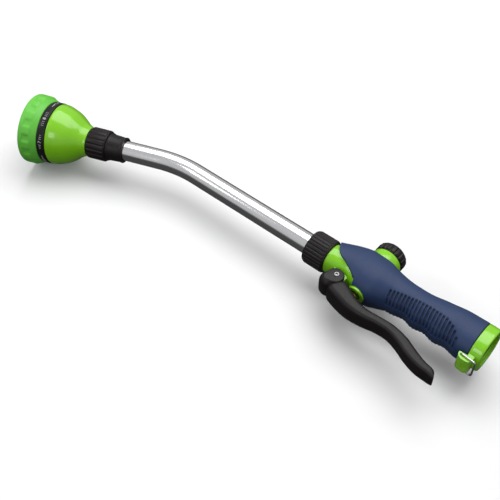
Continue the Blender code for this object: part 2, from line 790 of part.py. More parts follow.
def make_flow_knob():
    depth = 0.0008
    low = KNOB_BASE
    plain = KNOB_RADIUS - depth
    rings = [
        ribbed_ring(plain, 0.0, KNOB_RIBS, low),
        ribbed_ring(KNOB_RADIUS, depth, KNOB_RIBS, low + 0.0010),
        ribbed_ring(KNOB_RADIUS, depth, KNOB_RIBS, low + 0.0072),
        ribbed_ring(plain, 0.0004, KNOB_RIBS, low + 0.0088),
        ribbed_ring(0.0108, 0.0, KNOB_RIBS, low + 0.0105),
        ribbed_ring(0.0060, 0.0, KNOB_RIBS, KNOB_TOP),
    ]
    knob = loft("flow_knob", VALVE, rings, BLACK)
    hollow = [
        (0.0, 0.0352), (0.0098, 0.0352), (0.0114, 0.0335), (0.0114, low - 0.0100),
        (0.0, low - 0.0100),
    ]
    cut(knob, turned("knob_hollow", VALVE, hollow, None, 24))
    hub = turned("knob_hub", VALVE, ring_profile(0.0043, 0.0062, low + 0.0006, 0.0354), None, 24)
    cut(knob, hub, "UNION")
    cut(knob, cylinder("knob_screw_hole", VALVE, 0.0018, (0, 0, 0.030), (0, 0, 0.045), 20))
    seat = (0, 0, KNOB_TOP - 0.0018)
    cut(knob, cylinder("knob_screw_seat", VALVE, 0.0040, seat, (0, 0, 0.045), 24))
    return knob


def make_knob_screw():
    seat = KNOB_TOP - 0.0015
    profile = [
        (0.0, seat + 0.0012), (0.0028, seat + 0.0012), (0.0034, seat + 0.0006), (0.0034, seat),
        (0.0013, seat), (0.0013, 0.0235), (0.0, 0.0235),
    ]
    screw = turned("knob_screw", VALVE, profile, STEEL, 20)
    low = (-0.0022, -0.0004, seat + 0.0005)
    high = (0.0022, 0.0004, seat + 0.0030)
    cut(screw, box("knob_screw_slot", VALVE, low, high))
    return screw


# -------------------------------------------------------------------- trigger

# Lever stations in the wand frame: (x, y) of the section's middle, the direction
# the lever runs there in degrees, half thickness and half width.
LEVER = (
    (0.0415, -0.0232, -33.0, 0.0072, 0.0080),
    (0.0440, -0.0246, -33.0, 0.0086, 0.0101),
    (0.0470, -0.0262, -33.0, 0.0094, 0.0109),
    (0.0560, -0.0302, -33.0, 0.0082, 0.0107),
    (0.0660, -0.0330, -18.0, 0.0068, 0.0098),
    (0.0770, -0.0336, -2.0, 0.0054, 0.0088),
    (0.0900, -0.0320, 4.0, 0.0046, 0.0081),
    (0.1020, -0.0318, -8.0, 0.0048, 0.0078),
    (0.1140, -0.0348, -24.0, 0.0054, 0.0077),
    (0.1250, -0.0398, -30.0, 0.0055, 0.0077),
    (0.1360, -0.0437, -20.0, 0.0049, 0.0077),
    (0.1450, -0.0450, -10.0, 0.0041, 0.0074),
    (0.1503, -0.0460, 25.0, 0.0036, 0.0062),
)

# The lever's head, seen along Z, is a round hub at the pin joined to a round nose.
# Each level gives Z, the radius of the hub and the radius of the nose.
HUB = Vector((-0.0006, -0.0008))
NOSE = Vector((-0.0043, -0.0048))
HEAD_LEVELS = (
    (0.0050, 0.0076, 0.0078), (0.0080, 0.0076, 0.0066), (0.0098, 0.0075, 0.0052),
    (CHEEK_HALF, 0.0067, 0.0036),
)


def lever_section(station, count=18, power=3.2):
    """Rounded-box ring across the lever at one station."""
    x, y, heading, thick, wide = station
    along = radians(heading)
    points = []
    for k in range(count):
        angle = 2.0 * pi * (k + 0.5) / count
        c = cos(angle)
        s = sin(angle)
        rise = thick * copysign(abs(c) ** (2.0 / power), c)
        z = wide * copysign(abs(s) ** (2.0 / power), s)
        px = x - rise * sin(along) - PIVOT_X
        py = y + rise * cos(along) - PIVOT_Y
        points.append((px, py, z))
    return points


def head_ring(z, hub_radius, nose_radius):
    """Outline round the hub and the nose at one level, with 18 points."""
    reach = NOSE - HUB
    bearing = atan2(reach.y, reach.x)
    open_half = acos((hub_radius - nose_radius) / reach.length)
    points = []
    for k in range(11):
        angle = bearing + open_half + (2.0 * pi - 2.0 * open_half) * k / 10.0
        points.append((HUB.x + hub_radius * cos(angle), HUB.y + hub_radius * sin(angle), z))
    for k in range(7):
        angle = bearing - open_half + 2.0 * open_half * k / 6.0
        points.append((NOSE.x + nose_radius * cos(angle), NOSE.y + nose_radius * sin(angle), z))
    return points


def make_lever_head():
    rings = [head_ring(-z, a, b) for z, a, b in reversed(HEAD_LEVELS)]
    rings += [head_ring(z, a, b) for z, a, b in HEAD_LEVELS]
    return loft("lever_head", TRIGGER, rings)


def make_trigger_lever():
    lever = loft("trigger_lever", TRIGGER, [lever_section(s) for s in LEVER], BLACK)
    cut(lever, make_lever_head(), "UNION")
    slot = LUG_HALF + GAP
    relief = []
    for k in range(13):
        angle = radians(200.0 + 150.0 * k / 12.0)
        relief.append((0.0068 * cos(angle), 0.0068 * sin(angle)))
    relief += [(0.0120, 0.0010), (0.0130, 0.0200), (-0.0110, 0.0200), (-0.0086, 0.0010)]
    cut(lever, outline("lug_slot", TRIGGER, relief, slot))
    half = 0.0087
    low = (0.0055, -0.0080, -half)
    high = (0.0290, 0.0200, half)
    cut(lever, box("gland_pocket", TRIGGER, low, high))
    cut(lever, cylinder("lever_hole", TRIGGER, PIN_RADIUS + GAP, (0, 0, -0.02), (0, 0, 0.02), 24))
    return lever


def make_pivot_pin():
    """A headed pin through both cheeks, its ends dimpled by the riveting."""
    end = CHEEK_HALF + GAP
    profile = [
        (0.0, end + 0.0002), (0.0007, end + 0.0006), (0.0024, end + 0.0006), (0.0026, end),
        (PIN_RADIUS, end), (PIN_RADIUS, -end), (0.0026, -end), (0.0024, -end - 0.0006),
        (0.0007, -end - 0.0006), (0.0, -end - 0.0002),
    ]
    return turned("pivot_pin", TRIGGER, profile, STEEL, 20)


# ------------------------------------------------------------------- hose end


def boss_outline():
    """Side view of the lock boss under the end cap."""
    return [
        (0.1537, -0.0166), (0.1543, -0.0190), (0.1564, -0.0209), (0.1600, -0.0216),
        (0.1637, -0.0211), (0.1654, -0.0190), (0.1657, -0.0160), (0.1657, -0.0100),
        (0.1606, -0.0100), (0.1606, -0.0156), (0.1540, -0.0158),
    ]


def make_end_cap():
    stations = (CAP_START, CAP_START + 0.0004, REAR_X - 0.0008, REAR_X)
    insets = (0.0003, 0.0, 0.0, 0.0008)
    rings = [handle_section(x, inset, 28, False) for x, inset in zip(stations, insets)]
    cap = loft("end_cap", WAND, rings, LIME)
    cut(cap, outline("lock_boss", WAND, boss_outline(), BOSS_HALF), "UNION")
    cut(cap, cylinder("cap_bore", INLET, 0.0150, (0, 0, 0.150), (0, 0, 0.180), 32))
    cut(cap, cylinder("bail_hole", BAIL, WIRE_RADIUS + GAP, (0, 0, -0.02), (0, 0, 0.02), 16))
    return cap


def make_inlet_insert():
    """Hose socket: a cup with a thread and a spigot into the valve body."""
    rear = REAR_X - 0.0006
    floor = CAP_START + 0.0022
    root = 0.0132
    crest = 0.0126
    profile = [(0.0147, rear), (0.0147, CAP_START + GAP), (0.0097, CAP_START + GAP)]
    profile += [(0.0097, 0.1505), (0.0080, 0.1505), (0.0080, floor), (crest, floor)]
    level = floor + 0.0034
    while level + THREAD_PITCH < rear - 0.0004:
        profile.append((crest, level))
        profile.append((root, level + THREAD_PITCH * 0.5))
        level += THREAD_PITCH
    profile += [(crest, level), (root, rear)]
    return turned("inlet_insert", INLET, profile, LIME, 28)


def make_inlet_washer():
    low = CAP_START + 0.0025
    profile = ring_profile(0.0085, 0.0122, low, low + 0.0024)
    return turned("inlet_washer", INLET, profile, RUBBER, 24)


def make_filter_screen():
    """A domed strainer standing in the inlet spigot, with a grid of holes."""
    profile = [
        (0.0, 0.1526), (0.0052, 0.1532), (0.0068, 0.1548), (0.0068, 0.1590), (0.0077, 0.1590),
        (0.0077, 0.1598), (0.0062, 0.1598), (0.0062, 0.1550), (0.0048, 0.1538), (0.0, 0.1532),
    ]
    profile.reverse()
    screen = turned("filter_screen", INLET, profile, STEEL, 20)
    spots = [(0.0028 * cos(k * pi / 2), 0.0028 * sin(k * pi / 2)) for k in range(4)]
    for k, (x, y) in enumerate(spots):
        hole = cylinder("screen_hole_%d" % k, INLET, 0.0009, (x, y, 0.150), (x, y, 0.156), 8)
        cut(screen, hole)
    return screen


def make_lock_bail():
    """A wire bail whose bent-in ends turn in the lock boss."""
    leg = BAIL_LEG
    reach = Vector((BAIL_REACH, -0.0013, 0.0))
    corner = 0.0018
    ahead = reach.normalized()
    points = [Vector((0, 0, 0.0050)), Vector((0, 0, leg - corner))]
    points.append(ahead * corner * 0.3 + Vector((0, 0, leg - corner * 0.3)))
    points.append(ahead * corner + Vector((0, 0, leg)))
    points.append(reach - ahead * corner + Vector((0, 0, leg)))
    points.append(reach - ahead * corner * 0.3 + Vector((0, 0, leg - corner * 0.3)))
    points.append(reach + Vector((0, 0, leg - corner)))
    mirrored = [Vector((p.x, p.y, -p.z)) for p in reversed(points)]
    return wire("lock_bail", BAIL, points + mirrored, WIRE_RADIUS, STEEL, 2)


def build_wand():
    make_face_bezel()
    make_spray_face()
    make_dial_band()
    make_face_screw()
    make_head_housing()
    make_selector_plate()
    make_selector_seal()
    make_head_nut()
    make_tube_ferrule()
    torus("ferrule_o_ring", HEAD, 0.0102, 0.0008, RUBBER, (0, 0, 0.0226))
    make_wand_tube()
    make_tube_flange()
    make_collar_nut()
    torus("collar_o_ring", BODY, 0.0112, 0.0006, RUBBER, (0, 0, 0.0099))
    make_valve_body()
    make_grip_sleeve()
    make_stem_gland()
    torus("stem_o_ring", VALVE, 0.0036, 0.0008, RUBBER, (0, 0, -0.0122))
    make_valve_stem()
    make_valve_seal()
    make_valve_spring()
    make_valve_bonnet()
    make_flow_spindle()
    torus("spindle_o_ring", VALVE, 0.0051, 0.0008, RUBBER, (0, 0, 0.0235))
    make_flow_knob()
    make_knob_screw()
    make_trigger_lever()
    make_pivot_pin()
    make_end_cap()
    make_inlet_insert()
    make_inlet_washer()
    make_filter_screen()
    make_lock_bail()


build_wand()
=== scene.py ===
"""Looks of the watering wand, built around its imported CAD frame."""

import json
from math import acos, atan2, copysign, cos, hypot, pi, radians, sin, tau

import bpy
import bmesh
from mathutils import Matrix, Vector


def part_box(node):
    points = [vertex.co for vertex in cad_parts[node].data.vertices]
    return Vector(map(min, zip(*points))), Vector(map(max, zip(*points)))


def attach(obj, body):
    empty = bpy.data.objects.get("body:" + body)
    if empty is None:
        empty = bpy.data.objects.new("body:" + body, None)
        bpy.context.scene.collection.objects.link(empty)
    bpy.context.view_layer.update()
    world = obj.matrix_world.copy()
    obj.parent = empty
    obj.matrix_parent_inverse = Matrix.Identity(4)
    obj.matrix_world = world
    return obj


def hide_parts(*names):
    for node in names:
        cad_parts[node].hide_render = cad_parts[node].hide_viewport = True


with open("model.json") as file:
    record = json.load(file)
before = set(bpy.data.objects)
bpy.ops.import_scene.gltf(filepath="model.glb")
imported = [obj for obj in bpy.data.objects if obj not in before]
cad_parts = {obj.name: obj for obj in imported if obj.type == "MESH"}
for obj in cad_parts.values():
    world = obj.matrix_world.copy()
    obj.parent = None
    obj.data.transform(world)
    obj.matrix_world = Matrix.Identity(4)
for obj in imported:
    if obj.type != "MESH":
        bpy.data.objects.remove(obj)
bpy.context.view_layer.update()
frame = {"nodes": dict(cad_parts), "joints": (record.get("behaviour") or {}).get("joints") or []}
JOINTS = {joint["name"]: joint for joint in frame["joints"]}
GAP = 0.0003

# ---- the frames


def axes_matrix(origin, x_axis, y_axis, z_axis):
    turn = Matrix((x_axis, y_axis, z_axis)).transposed().to_4x4()
    return Matrix.Translation(origin) @ turn


def joint_point(name):
    return Vector(JOINTS[name]["pos_m"])


# Distances along the head axis and the handle, as in the CAD model.
BEZEL_END = 0.0968
BAND_END = 0.0788
BELL_END = 0.0710
NUT_END = 0.0362
FERRULE_END = 0.0162
HEAD_RADIUS = 0.0335
BAND_RADIUS = 0.0296
KNOB_BASE = 0.0280
KNOB_TOP = 0.0395
VALVE_X = 0.059
COLLAR_LENGTH = 0.0210
CAP_START = 0.160
SLEEVE_WALL = 0.0025
PIVOT = (0.0395, -0.0190)
PIN_RADIUS = 0.0019
CHEEK_HALF = 0.0110
LUG_HALF = 0.0064
LUG_RADIUS = 0.0062
TUBE_RADIUS = 0.0095
TUBE_STRAIGHT = 0.134
BEND_RADIUS = 0.115
TUBE_HEAD_LENGTH = 0.035

COLLAR_LOW, COLLAR_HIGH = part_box("collar_nut")
ORIGIN = Vector((
    COLLAR_LOW.x, (COLLAR_LOW.y + COLLAR_HIGH.y) / 2, (COLLAR_LOW.z + COLLAR_HIGH.z) / 2,
))
X_AXIS = Vector((1, 0, 0))
Y_AXIS = Vector((0, 1, 0))
Z_AXIS = Vector((0, 0, 1))
HEAD_LINE = Vector(JOINTS["head_turn"]["axis"]).normalized()
BEND_ANGLE = atan2(-HEAD_LINE.y, -HEAD_LINE.x)
REAR_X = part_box("end_cap")[1].x - ORIGIN.x
INLET_LOW, INLET_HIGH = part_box("inlet_insert")
INLET_Y = (INLET_LOW.y + INLET_HIGH.y) / 2 - ORIGIN.y

WAND = Matrix.Translation(ORIGIN)
HEAD = axes_matrix(
    joint_point("head_turn") - HEAD_LINE * BEZEL_END, Z_AXIS, HEAD_LINE.cross(Z_AXIS), HEAD_LINE,
)
BODY = axes_matrix(ORIGIN, Z_AXIS, -Y_AXIS, X_AXIS)
INLET = axes_matrix(ORIGIN + Y_AXIS * INLET_Y, Z_AXIS, -Y_AXIS, X_AXIS)
VALVE = axes_matrix(joint_point("knob_turn") - Y_AXIS * KNOB_BASE, X_AXIS, -Z_AXIS, Y_AXIS)
TRIGGER = Matrix.Translation(joint_point("trigger_squeeze"))
BAIL = Matrix.Translation(joint_point("bail_swing"))

# ---- small sums


def polar(radius, angle):
    return radius * cos(angle), radius * sin(angle)


def oval(angle, power):
    """Point of a unit circle squared off by a power: 2 is round, more is squarer."""
    c = cos(angle)
    s = sin(angle)
    return copysign(abs(c) ** (2.0 / power), c), copysign(abs(s) ** (2.0 / power), s)


def ease(value, low, high):
    """Smooth step from 0 at low to 1 at high."""
    t = min(max((value - low) / (high - low), 0.0), 1.0)
    return t * t * (3.0 - 2.0 * t)


def between(table, x):
    """Straight-line reading of a table of (x, value)."""
    if x <= table[0][0]:
        return table[0][1]
    for (x0, v0), (x1, v1) in zip(table, table[1:]):
        if x <= x1:
            return v0 + (v1 - v0) * (x - x0) / (x1 - x0)
    return table[-1][1]


def spaced(start, end, count):
    return [start + (end - start) * k / (count - 1) for k in range(count)]


# ---- mesh building

ROUND_STEPS = 3
ROUND_SHARE = 0.45
NEARLY_STRAIGHT = radians(160)
WELD = 0.000002
SLIVER = 0.000001


def put(name, data):
    """Make an object of some data and link it to the scene."""
    item = bpy.data.objects.new(name, data)
    bpy.context.scene.collection.objects.link(item)
    return item


def mesh_object(name, builder):
    """Object of a closed bmesh, with its faces turned outward."""
    bmesh.ops.recalc_face_normals(builder, faces=builder.faces)
    if builder.calc_volume(signed=True) < 0:
        bmesh.ops.reverse_faces(builder, faces=builder.faces)
    mesh = bpy.data.meshes.new(name)
    builder.to_mesh(mesh)
    builder.free()
    return put(name, mesh)


def skin(name, place, rows, closed=False):
    """Skin rows of points.  A row of one point is a pole; other rows are equally long."""
    builder = bmesh.new()
    made = [[builder.verts.new(place @ Vector(point)) for point in row] for row in rows]
    pairs = list(zip(made, made[1:]))
    if closed:
        pairs.append((made[-1], made[0]))
    count = max(len(row) for row in made)
    for first, second in pairs:
        for k in range(count):
            after = (k + 1) % count
            if len(first) == 1:
                builder.faces.new((first[0], second[after], second[k]))
            elif len(second) == 1:
                builder.faces.new((first[k], first[after], second[0]))
            else:
                builder.faces.new((first[k], first[after], second[after], second[k]))
    if not closed:
        for row in (made[0], made[-1]):
            if len(row) > 1:
                builder.faces.new(row)
    return mesh_object(name, builder)


def rounded(profile, radius):
    """Round the corners of a (radius, height) outline; points on the axis stay."""
    points = []
    for k, point in enumerate(profile):
        here = Vector(point)
        if here.x <= 0.0:
            points.append(here)
            continue
        before = Vector(profile[k - 1]) - here
        after = Vector(profile[(k + 1) % len(profile)]) - here
        if before.angle(after) > NEARLY_STRAIGHT:
            points.append(here)
            continue
        size = min(radius, ROUND_SHARE * before.length, ROUND_SHARE * after.length)
        start = here + before.normalized() * size
        end = here + after.normalized() * size
        for step in range(ROUND_STEPS + 1):
            t = step / ROUND_STEPS
            points.append(start * (1 - t) ** 2 + here * 2 * t * (1 - t) + end * t * t)
    return points


def circle(radius, height, steps):
    return [(*polar(radius, tau * k / steps), height) for k in range(steps)]


def turned(name, place, profile, soft, steps):
    """Turn a (radius, height) outline with soft corners about local Z."""
    rows = []
    for radius, height in rounded(profile, soft):
        if radius <= 0.0:
            rows.append([(0.0, 0.0, height)])
        else:
            rows.append(circle(radius, height, steps))
    closed = min(radius for radius, height in profile) > 0.0
    return skin(name, place, rows, closed)


def rod(place, radius, start, end, sides=48):
    """A plain cutter between two points."""
    start = Vector(start)
    span = Vector(end) - start
    turn = span.to_track_quat("Z", "Y").to_matrix().to_4x4()
    local = place @ Matrix.Translation(start) @ turn
    return skin("cutter", local, [circle(radius, 0.0, sides), circle(radius, span.length, sides)])


def bore(place, radius, low, high, sides=48):
    """A cutter along the local Z axis."""
    return rod(place, radius, (0, 0, low), (0, 0, high), sides)


def prism(place, points, half):
    """A cutter with a flat (x, y) outline, half its thickness each way."""
    return skin("cutter", place, [[(x, y, z) for x, y in points] for z in (-half, half)])


def block(place, low, high):
    """A box-shaped cutter between two corners."""
    corners = [(low[0], low[1]), (high[0], low[1]), (high[0], high[1]), (low[0], high[1])]
    return skin("cutter", place, [[(x, y, z) for x, y in corners] for z in (low[2], high[2])])


def bake(item):
    """Replace the object's mesh by what its modifiers make of it."""
    graph = bpy.context.evaluated_depsgraph_get()
    graph.update()
    mesh = bpy.data.meshes.new_from_object(item.evaluated_get(graph))
    item.modifiers.clear()
    item.data = mesh


def weld(mesh):
    """Join points that a cut left on top of each other, and drop slivers."""
    builder = bmesh.new()
    builder.from_mesh(mesh)
    bmesh.ops.remove_doubles(builder, verts=builder.verts, dist=WELD)
    bmesh.ops.dissolve_degenerate(builder, edges=builder.edges, dist=SLIVER)
    builder.to_mesh(mesh)
    builder.free()


def carve(item, steps):
    """Apply a list of (operation, cutter), drop the cutters and stop if nothing is left."""
    for operation, cutter in steps:
        step = item.modifiers.new("carve", "BOOLEAN")
        step.operation = operation
        step.object = cutter
        step.solver = "EXACT"
    bake(item)
    for operation, cutter in steps:
        bpy.data.objects.remove(cutter)
    weld(item.data)
    if not item.data.polygons:
        raise RuntimeError(item.name + " was cut away entirely")


def cuts(*cutters):
    return [("DIFFERENCE", cutter) for cutter in cutters]


def smooth_path(points, per_span):
    """Catmull-Rom curve through tuples of any length."""
    out = []
    last = len(points) - 1
    for k in range(last):
        a = points[max(k - 1, 0)]
        b = points[k]
        c = points[k + 1]
        d = points[min(k + 2, last)]
        for step in range(per_span):
            t = step / per_span
            out.append(tuple(
                0.5 * (2 * q + (r - p) * t + (2 * p - 5 * q + 4 * r - s) * t * t
                       + (3 * q - p - 3 * r + s) * t ** 3)
                for p, q, r, s in zip(a, b, c, d)
            ))
    out.append(points[-1])
    return out


def tube_rows(points, radius, sides):
    """Rings of a round bar along points, kept free of twist."""
    rows = []
    side = None
    for k, point in enumerate(points):
        ahead = points[min(k + 1, len(points) - 1)] - points[max(k - 1, 0)]
        ahead.normalize()
        if side is None:
            side = ahead.orthogonal().normalized()
        side = (side - ahead * side.dot(ahead)).normalized()
        up = ahead.cross(side)
        ring = []
        for step in range(sides):
            angle = tau * step / sides
            ring.append(point + side * radius * cos(angle) + up * radius * sin(angle))
        rows.append(ring)
    return rows


# ---- materials

NOISE_ROUGHNESS = 0.55


def map_range(tree, source, low, high, start, end):
    """Map start..end of a socket onto low..high."""
    node = tree.nodes.new("ShaderNodeMapRange")
    names = ("From Min", "From Max", "To Min", "To Max")
    for name, value in zip(names, (start, end, low, high)):
        node.inputs[name].default_value = value
    tree.links.new(source, node.inputs["Value"])
    return node.outputs["Result"]


class Look:
    """Node tree of one procedural material, with short ways to add its parts."""

    def __init__(self, name, colour, roughness, metallic=0.0):
        self.material = bpy.data.materials.new(name)
        self.material.use_nodes = True
        self.tree = self.material.node_tree
        self.shader = self.tree.nodes["Principled BSDF"]
        self.colour = (*colour, 1.0)
        self.set(Base_Color=self.colour, Roughness=roughness, Metallic=metallic)
        self.place = self.tree.nodes.new("ShaderNodeTexCoord").outputs["Object"]
        self.bump = None

    def join(self, output, target):
        self.tree.links.new(output, target)

    def noise(self, scale, detail, stretch=None):
        node = self.tree.nodes.new("ShaderNodeTexNoise")
        node.inputs["Scale"].default_value = scale
        node.inputs["Detail"].default_value = detail
        node.inputs["Roughness"].default_value = NOISE_ROUGHNESS
        source = self.place
        if stretch is not None:
            mapping = self.tree.nodes.new("ShaderNodeMapping")
            mapping.inputs["Scale"].default_value = stretch
            self.join(source, mapping.inputs["Vector"])
            source = mapping.outputs["Vector"]
        self.join(source, node.inputs["Vector"])
        return node.outputs["Fac"]

    def spread(self, source, low, high, start=0.3, end=0.7):
        return map_range(self.tree, source, low, high, start, end)

    def tint(self, factor, colour):
        """Blend the base colour toward another one by a factor socket."""
        node = self.tree.nodes.new("ShaderNodeMix")
        node.data_type = "RGBA"
        socket = self.shader.inputs["Base Color"]
        if socket.is_linked:
            self.join(socket.links[0].from_socket, node.inputs[6])
        else:
            node.inputs[6].default_value = self.colour
        node.inputs[7].default_value = (*colour, 1.0)
        self.join(factor, node.inputs[0])
        self.join(node.outputs[2], socket)

    def clouds(self, scale, detail, amount, colour):
        self.tint(self.spread(self.noise(scale, detail), 0.0, amount), colour)

    def rough(self, source, low, high):
        self.join(self.spread(source, low, high), self.shader.inputs["Roughness"])

    def relief(self, source, distance, strength):
        """Add a bump on top of those already there."""
        node = self.tree.nodes.new("ShaderNodeBump")
        node.inputs["Distance"].default_value = distance
        node.inputs["Strength"].default_value = strength
        self.join(source, node.inputs["Height"])
        if self.bump is not None:
            self.join(self.bump, node.inputs["Normal"])
        self.bump = node.outputs["Normal"]
        self.join(self.bump, self.shader.inputs["Normal"])

    def curve(self):
        """Socket above a half on convex places and below it in hollows."""
        return self.tree.nodes.new("ShaderNodeNewGeometry").outputs["Pointiness"]

    def edges(self, low=0.52, high=0.62, amount=0.6):
        """Factor socket that is high along convex edges, broken up by noise."""
        ridge = self.spread(self.curve(), 0.0, amount, low, high)
        broken = self.spread(self.noise(420.0, 4.0), 0.0, 1.0, 0.42, 0.62)
        node = self.tree.nodes.new("ShaderNodeMath")
        node.operation = "MULTIPLY"
        self.join(ridge, node.inputs[0])
        self.join(broken, node.inputs[1])
        return node.outputs[0]

    def painted_crease_shade(self):
        """Factor socket that is high down in grooves and creases, where shade is painted."""
        return self.spread(self.curve(), 1.0, 0.0, 0.455, 0.497)

    def set(self, **values):
        """Set uniform values of the shader's own sockets."""
        for name, value in values.items():
            self.shader.inputs[name.replace("_", " ")].default_value = value


def lime_gloss():
    """Glossy injection-moulded lime: slow colour drift, faint flow ripple, fine scuffs."""
    look = Look("lime_gloss", (0.225, 0.600, 0.010), 0.16)
    look.clouds(60.0, 3.0, 0.30, (0.180, 0.540, 0.008))
    look.tint(look.edges(), (0.45, 0.75, 0.16))
    look.rough(look.noise(900.0, 4.0), 0.12, 0.24)
    look.relief(look.noise(260.0, 2.0), 0.00004, 0.5)
    look.relief(look.noise(3500.0, 2.0), 0.00001, 0.4)
    look.set(Subsurface_Weight=0.08, Subsurface_Scale=0.004, Coat_Weight=0.35, Coat_Roughness=0.08)
    look.set(Subsurface_Radius=(0.5, 1.0, 0.15), IOR=1.49)
    return look.material


def bezel_green():
    """Softer satin green of the face ring, with a fine spark-eroded grain."""
    look = Look("bezel_green", (0.135, 0.560, 0.055), 0.42)
    look.clouds(75.0, 3.0, 0.35, (0.105, 0.480, 0.045))
    look.tint(look.edges(), (0.30, 0.70, 0.20))
    look.rough(look.noise(1300.0, 4.0), 0.34, 0.52)
    look.relief(look.noise(2600.0, 3.0), 0.00003, 0.6)
    look.set(Subsurface_Weight=0.06, Subsurface_Scale=0.004, IOR=1.46)
    look.set(Subsurface_Radius=(0.4, 1.0, 0.3))
    return look.material


def black_plastic(name, colour, low, high, grain=2400.0):
    """Moulded black: slightly warm, grained, lighter along convex edges, with roughness varied by
    noise.
    """
    look = Look(name, colour, (low + high) / 2)
    lighter = tuple(part * 2.0 + 0.004 for part in colour)
    look.clouds(90.0, 4.0, 0.30, lighter)
    look.tint(look.edges(amount=0.4), (0.075, 0.070, 0.066))
    look.rough(look.noise(700.0, 4.0), low, high)
    look.relief(look.noise(grain, 3.0), 0.00003, 0.6)
    look.set(IOR=1.33)
    return look.material


def navy_grip():
    """Soft overmoulded rubber: matt, fine pebble grain, and painted shade that makes it nearly
    black down in the grooves.
    """
    look = Look("navy_grip", (0.018, 0.037, 0.104), 0.50)
    look.clouds(70.0, 4.0, 0.45, (0.027, 0.051, 0.124))
    look.tint(look.edges(0.51, 0.58, 0.30), (0.075, 0.105, 0.19))
    # Painted shade: the rubber is darkened nearly to black down in the grooves.
    look.tint(look.painted_crease_shade(), (0.003, 0.005, 0.014))
    look.rough(look.noise(1100.0, 4.0), 0.40, 0.58)
    look.relief(look.noise(3000.0, 2.0), 0.00005, 0.7)
    look.set(Sheen_Weight=0.03, Sheen_Roughness=0.45, IOR=1.35)
    return look.material


def tube_metal():
    """Drawn and polished aluminium with fine lines along the tube."""
    look = Look("tube_metal", (0.87, 0.875, 0.89), 0.16, 1.0)
    lines = look.noise(1.0, 3.0, (30.0, 2600.0, 2600.0))
    look.clouds(45.0, 3.0, 0.30, (0.78, 0.785, 0.80))
    look.rough(lines, 0.13, 0.24)
    look.relief(lines, 0.000012, 0.35)
    return look.material


def metal(name, colour, low, high):
    """Bare metal with darker clouds and a fine grain."""
    look = Look(name, colour, (low + high) / 2, 1.0)
    darker = tuple(part * 0.78 for part in colour)
    look.clouds(220.0, 4.0, 0.5, darker)
    look.rough(look.noise(900.0, 4.0), low, high)
    look.relief(look.noise(1800.0, 3.0), 0.00001, 0.4)
    return look.material


def rubber_black():
    look = Look("rubber_black", (0.018, 0.018, 0.019), 0.62)
    look.clouds(160.0, 4.0, 0.4, (0.045, 0.045, 0.046))
    look.rough(look.noise(1200.0, 3.0), 0.55, 0.75)
    look.relief(look.noise(2200.0, 3.0), 0.00004, 0.5)
    return look.material


def print_white():
    look = Look("print_white", (0.72, 0.72, 0.70), 0.5)
    look.clouds(800.0, 4.0, 0.5, (0.50, 0.50, 0.49))
    look.rough(look.noise(1500.0, 3.0), 0.42, 0.6)
    return look.material


LIME = lime_gloss()
BEZEL = bezel_green()
BLACK = black_plastic("black_plastic", (0.0085, 0.0070, 0.0068), 0.32, 0.46)
BAND = black_plastic("band_black", (0.009, 0.009, 0.010), 0.26, 0.38, 3200.0)
FACE = black_plastic("face_grey", (0.060, 0.060, 0.064), 0.38, 0.55)
NAVY = navy_grip()
TUBE = tube_metal()
STEEL = metal("steel", (0.66, 0.66, 0.67), 0.16, 0.30)
PIN_STEEL = metal("pin_steel", (0.36, 0.36, 0.37), 0.30, 0.46)
BRASS = metal("brass", (0.72, 0.53, 0.24), 0.24, 0.40)
RUBBER = rubber_black()
PRINT = print_white()


def finish_piece(item, material, body, replaced=(), angle=32.0):
    """Give a piece its material, shading, body and CAD nodes."""
    item.data.materials.clear()
    item.data.materials.append(material)
    item.data.shade_smooth()
    item.data.set_sharp_from_angle(angle=radians(angle))
    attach(item, body)
    if replaced:
        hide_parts(*replaced)


# ---- the head

RIB_STEPS = 16
RIB_LAND = 0.56
RIB_SHOULDER = 0.6
FACE_STEPS = 280
FACE_LOBES = 14
SPRAY_SECTORS = 8
PATTERN_RADIUS = 0.0190
MARK_RISE = 0.00006
MARK_SINK = 0.0001


def ribbed_row(radius, depth, ribs, height):
    """Ring with rounded-shouldered ribs standing depth proud."""
    points = []
    count = ribs * RIB_STEPS
    for k in range(count):
        phase = abs(((k / RIB_STEPS + 0.5) % 1.0) - 0.5) * 2.0
        r = radius - depth * ease(phase, RIB_LAND, 1.0) ** RIB_SHOULDER
        points.append((*polar(r, tau * k / count), height))
    return points


def build_nut(name, place, radius, depth, ribs, low, high, edge, bores):
    """Ribbed nut: rims at both ends, ribs with sloping ends, stepped bores."""
    plain = radius - depth
    end = (
        (plain - edge, 0.0, 0.0), (plain - 0.3 * edge, 0.0, 0.3 * edge), (plain, 0.0, edge),
        (plain, 0.0, 1.5 * edge), (plain + 0.7 * depth, 0.7 * depth, 2.0 * edge),
        (radius, depth, 3.0 * edge),
    )
    rows = [ribbed_row(r, sunk, ribs, low + run) for r, sunk, run in end]
    rows.append(ribbed_row(radius, depth, ribs, (low + high) / 2))
    rows += [ribbed_row(r, sunk, ribs, high - run) for r, sunk, run in reversed(end)]
    nut = skin(name, place, rows)
    carve(nut, cuts(*(bore(place, *size, 96) for size in bores)))
    finish_piece(nut, BLACK, "handle", [name], 50)


def bezel_row(radius, depth, height):
    """Ring with shallow, smooth finger scallops."""
    points = []
    for k in range(FACE_STEPS):
        angle = tau * k / FACE_STEPS
        r = radius - depth * ease(-cos(FACE_LOBES * angle), -0.45, 0.95)
        points.append((*polar(r, angle), height))
    return points


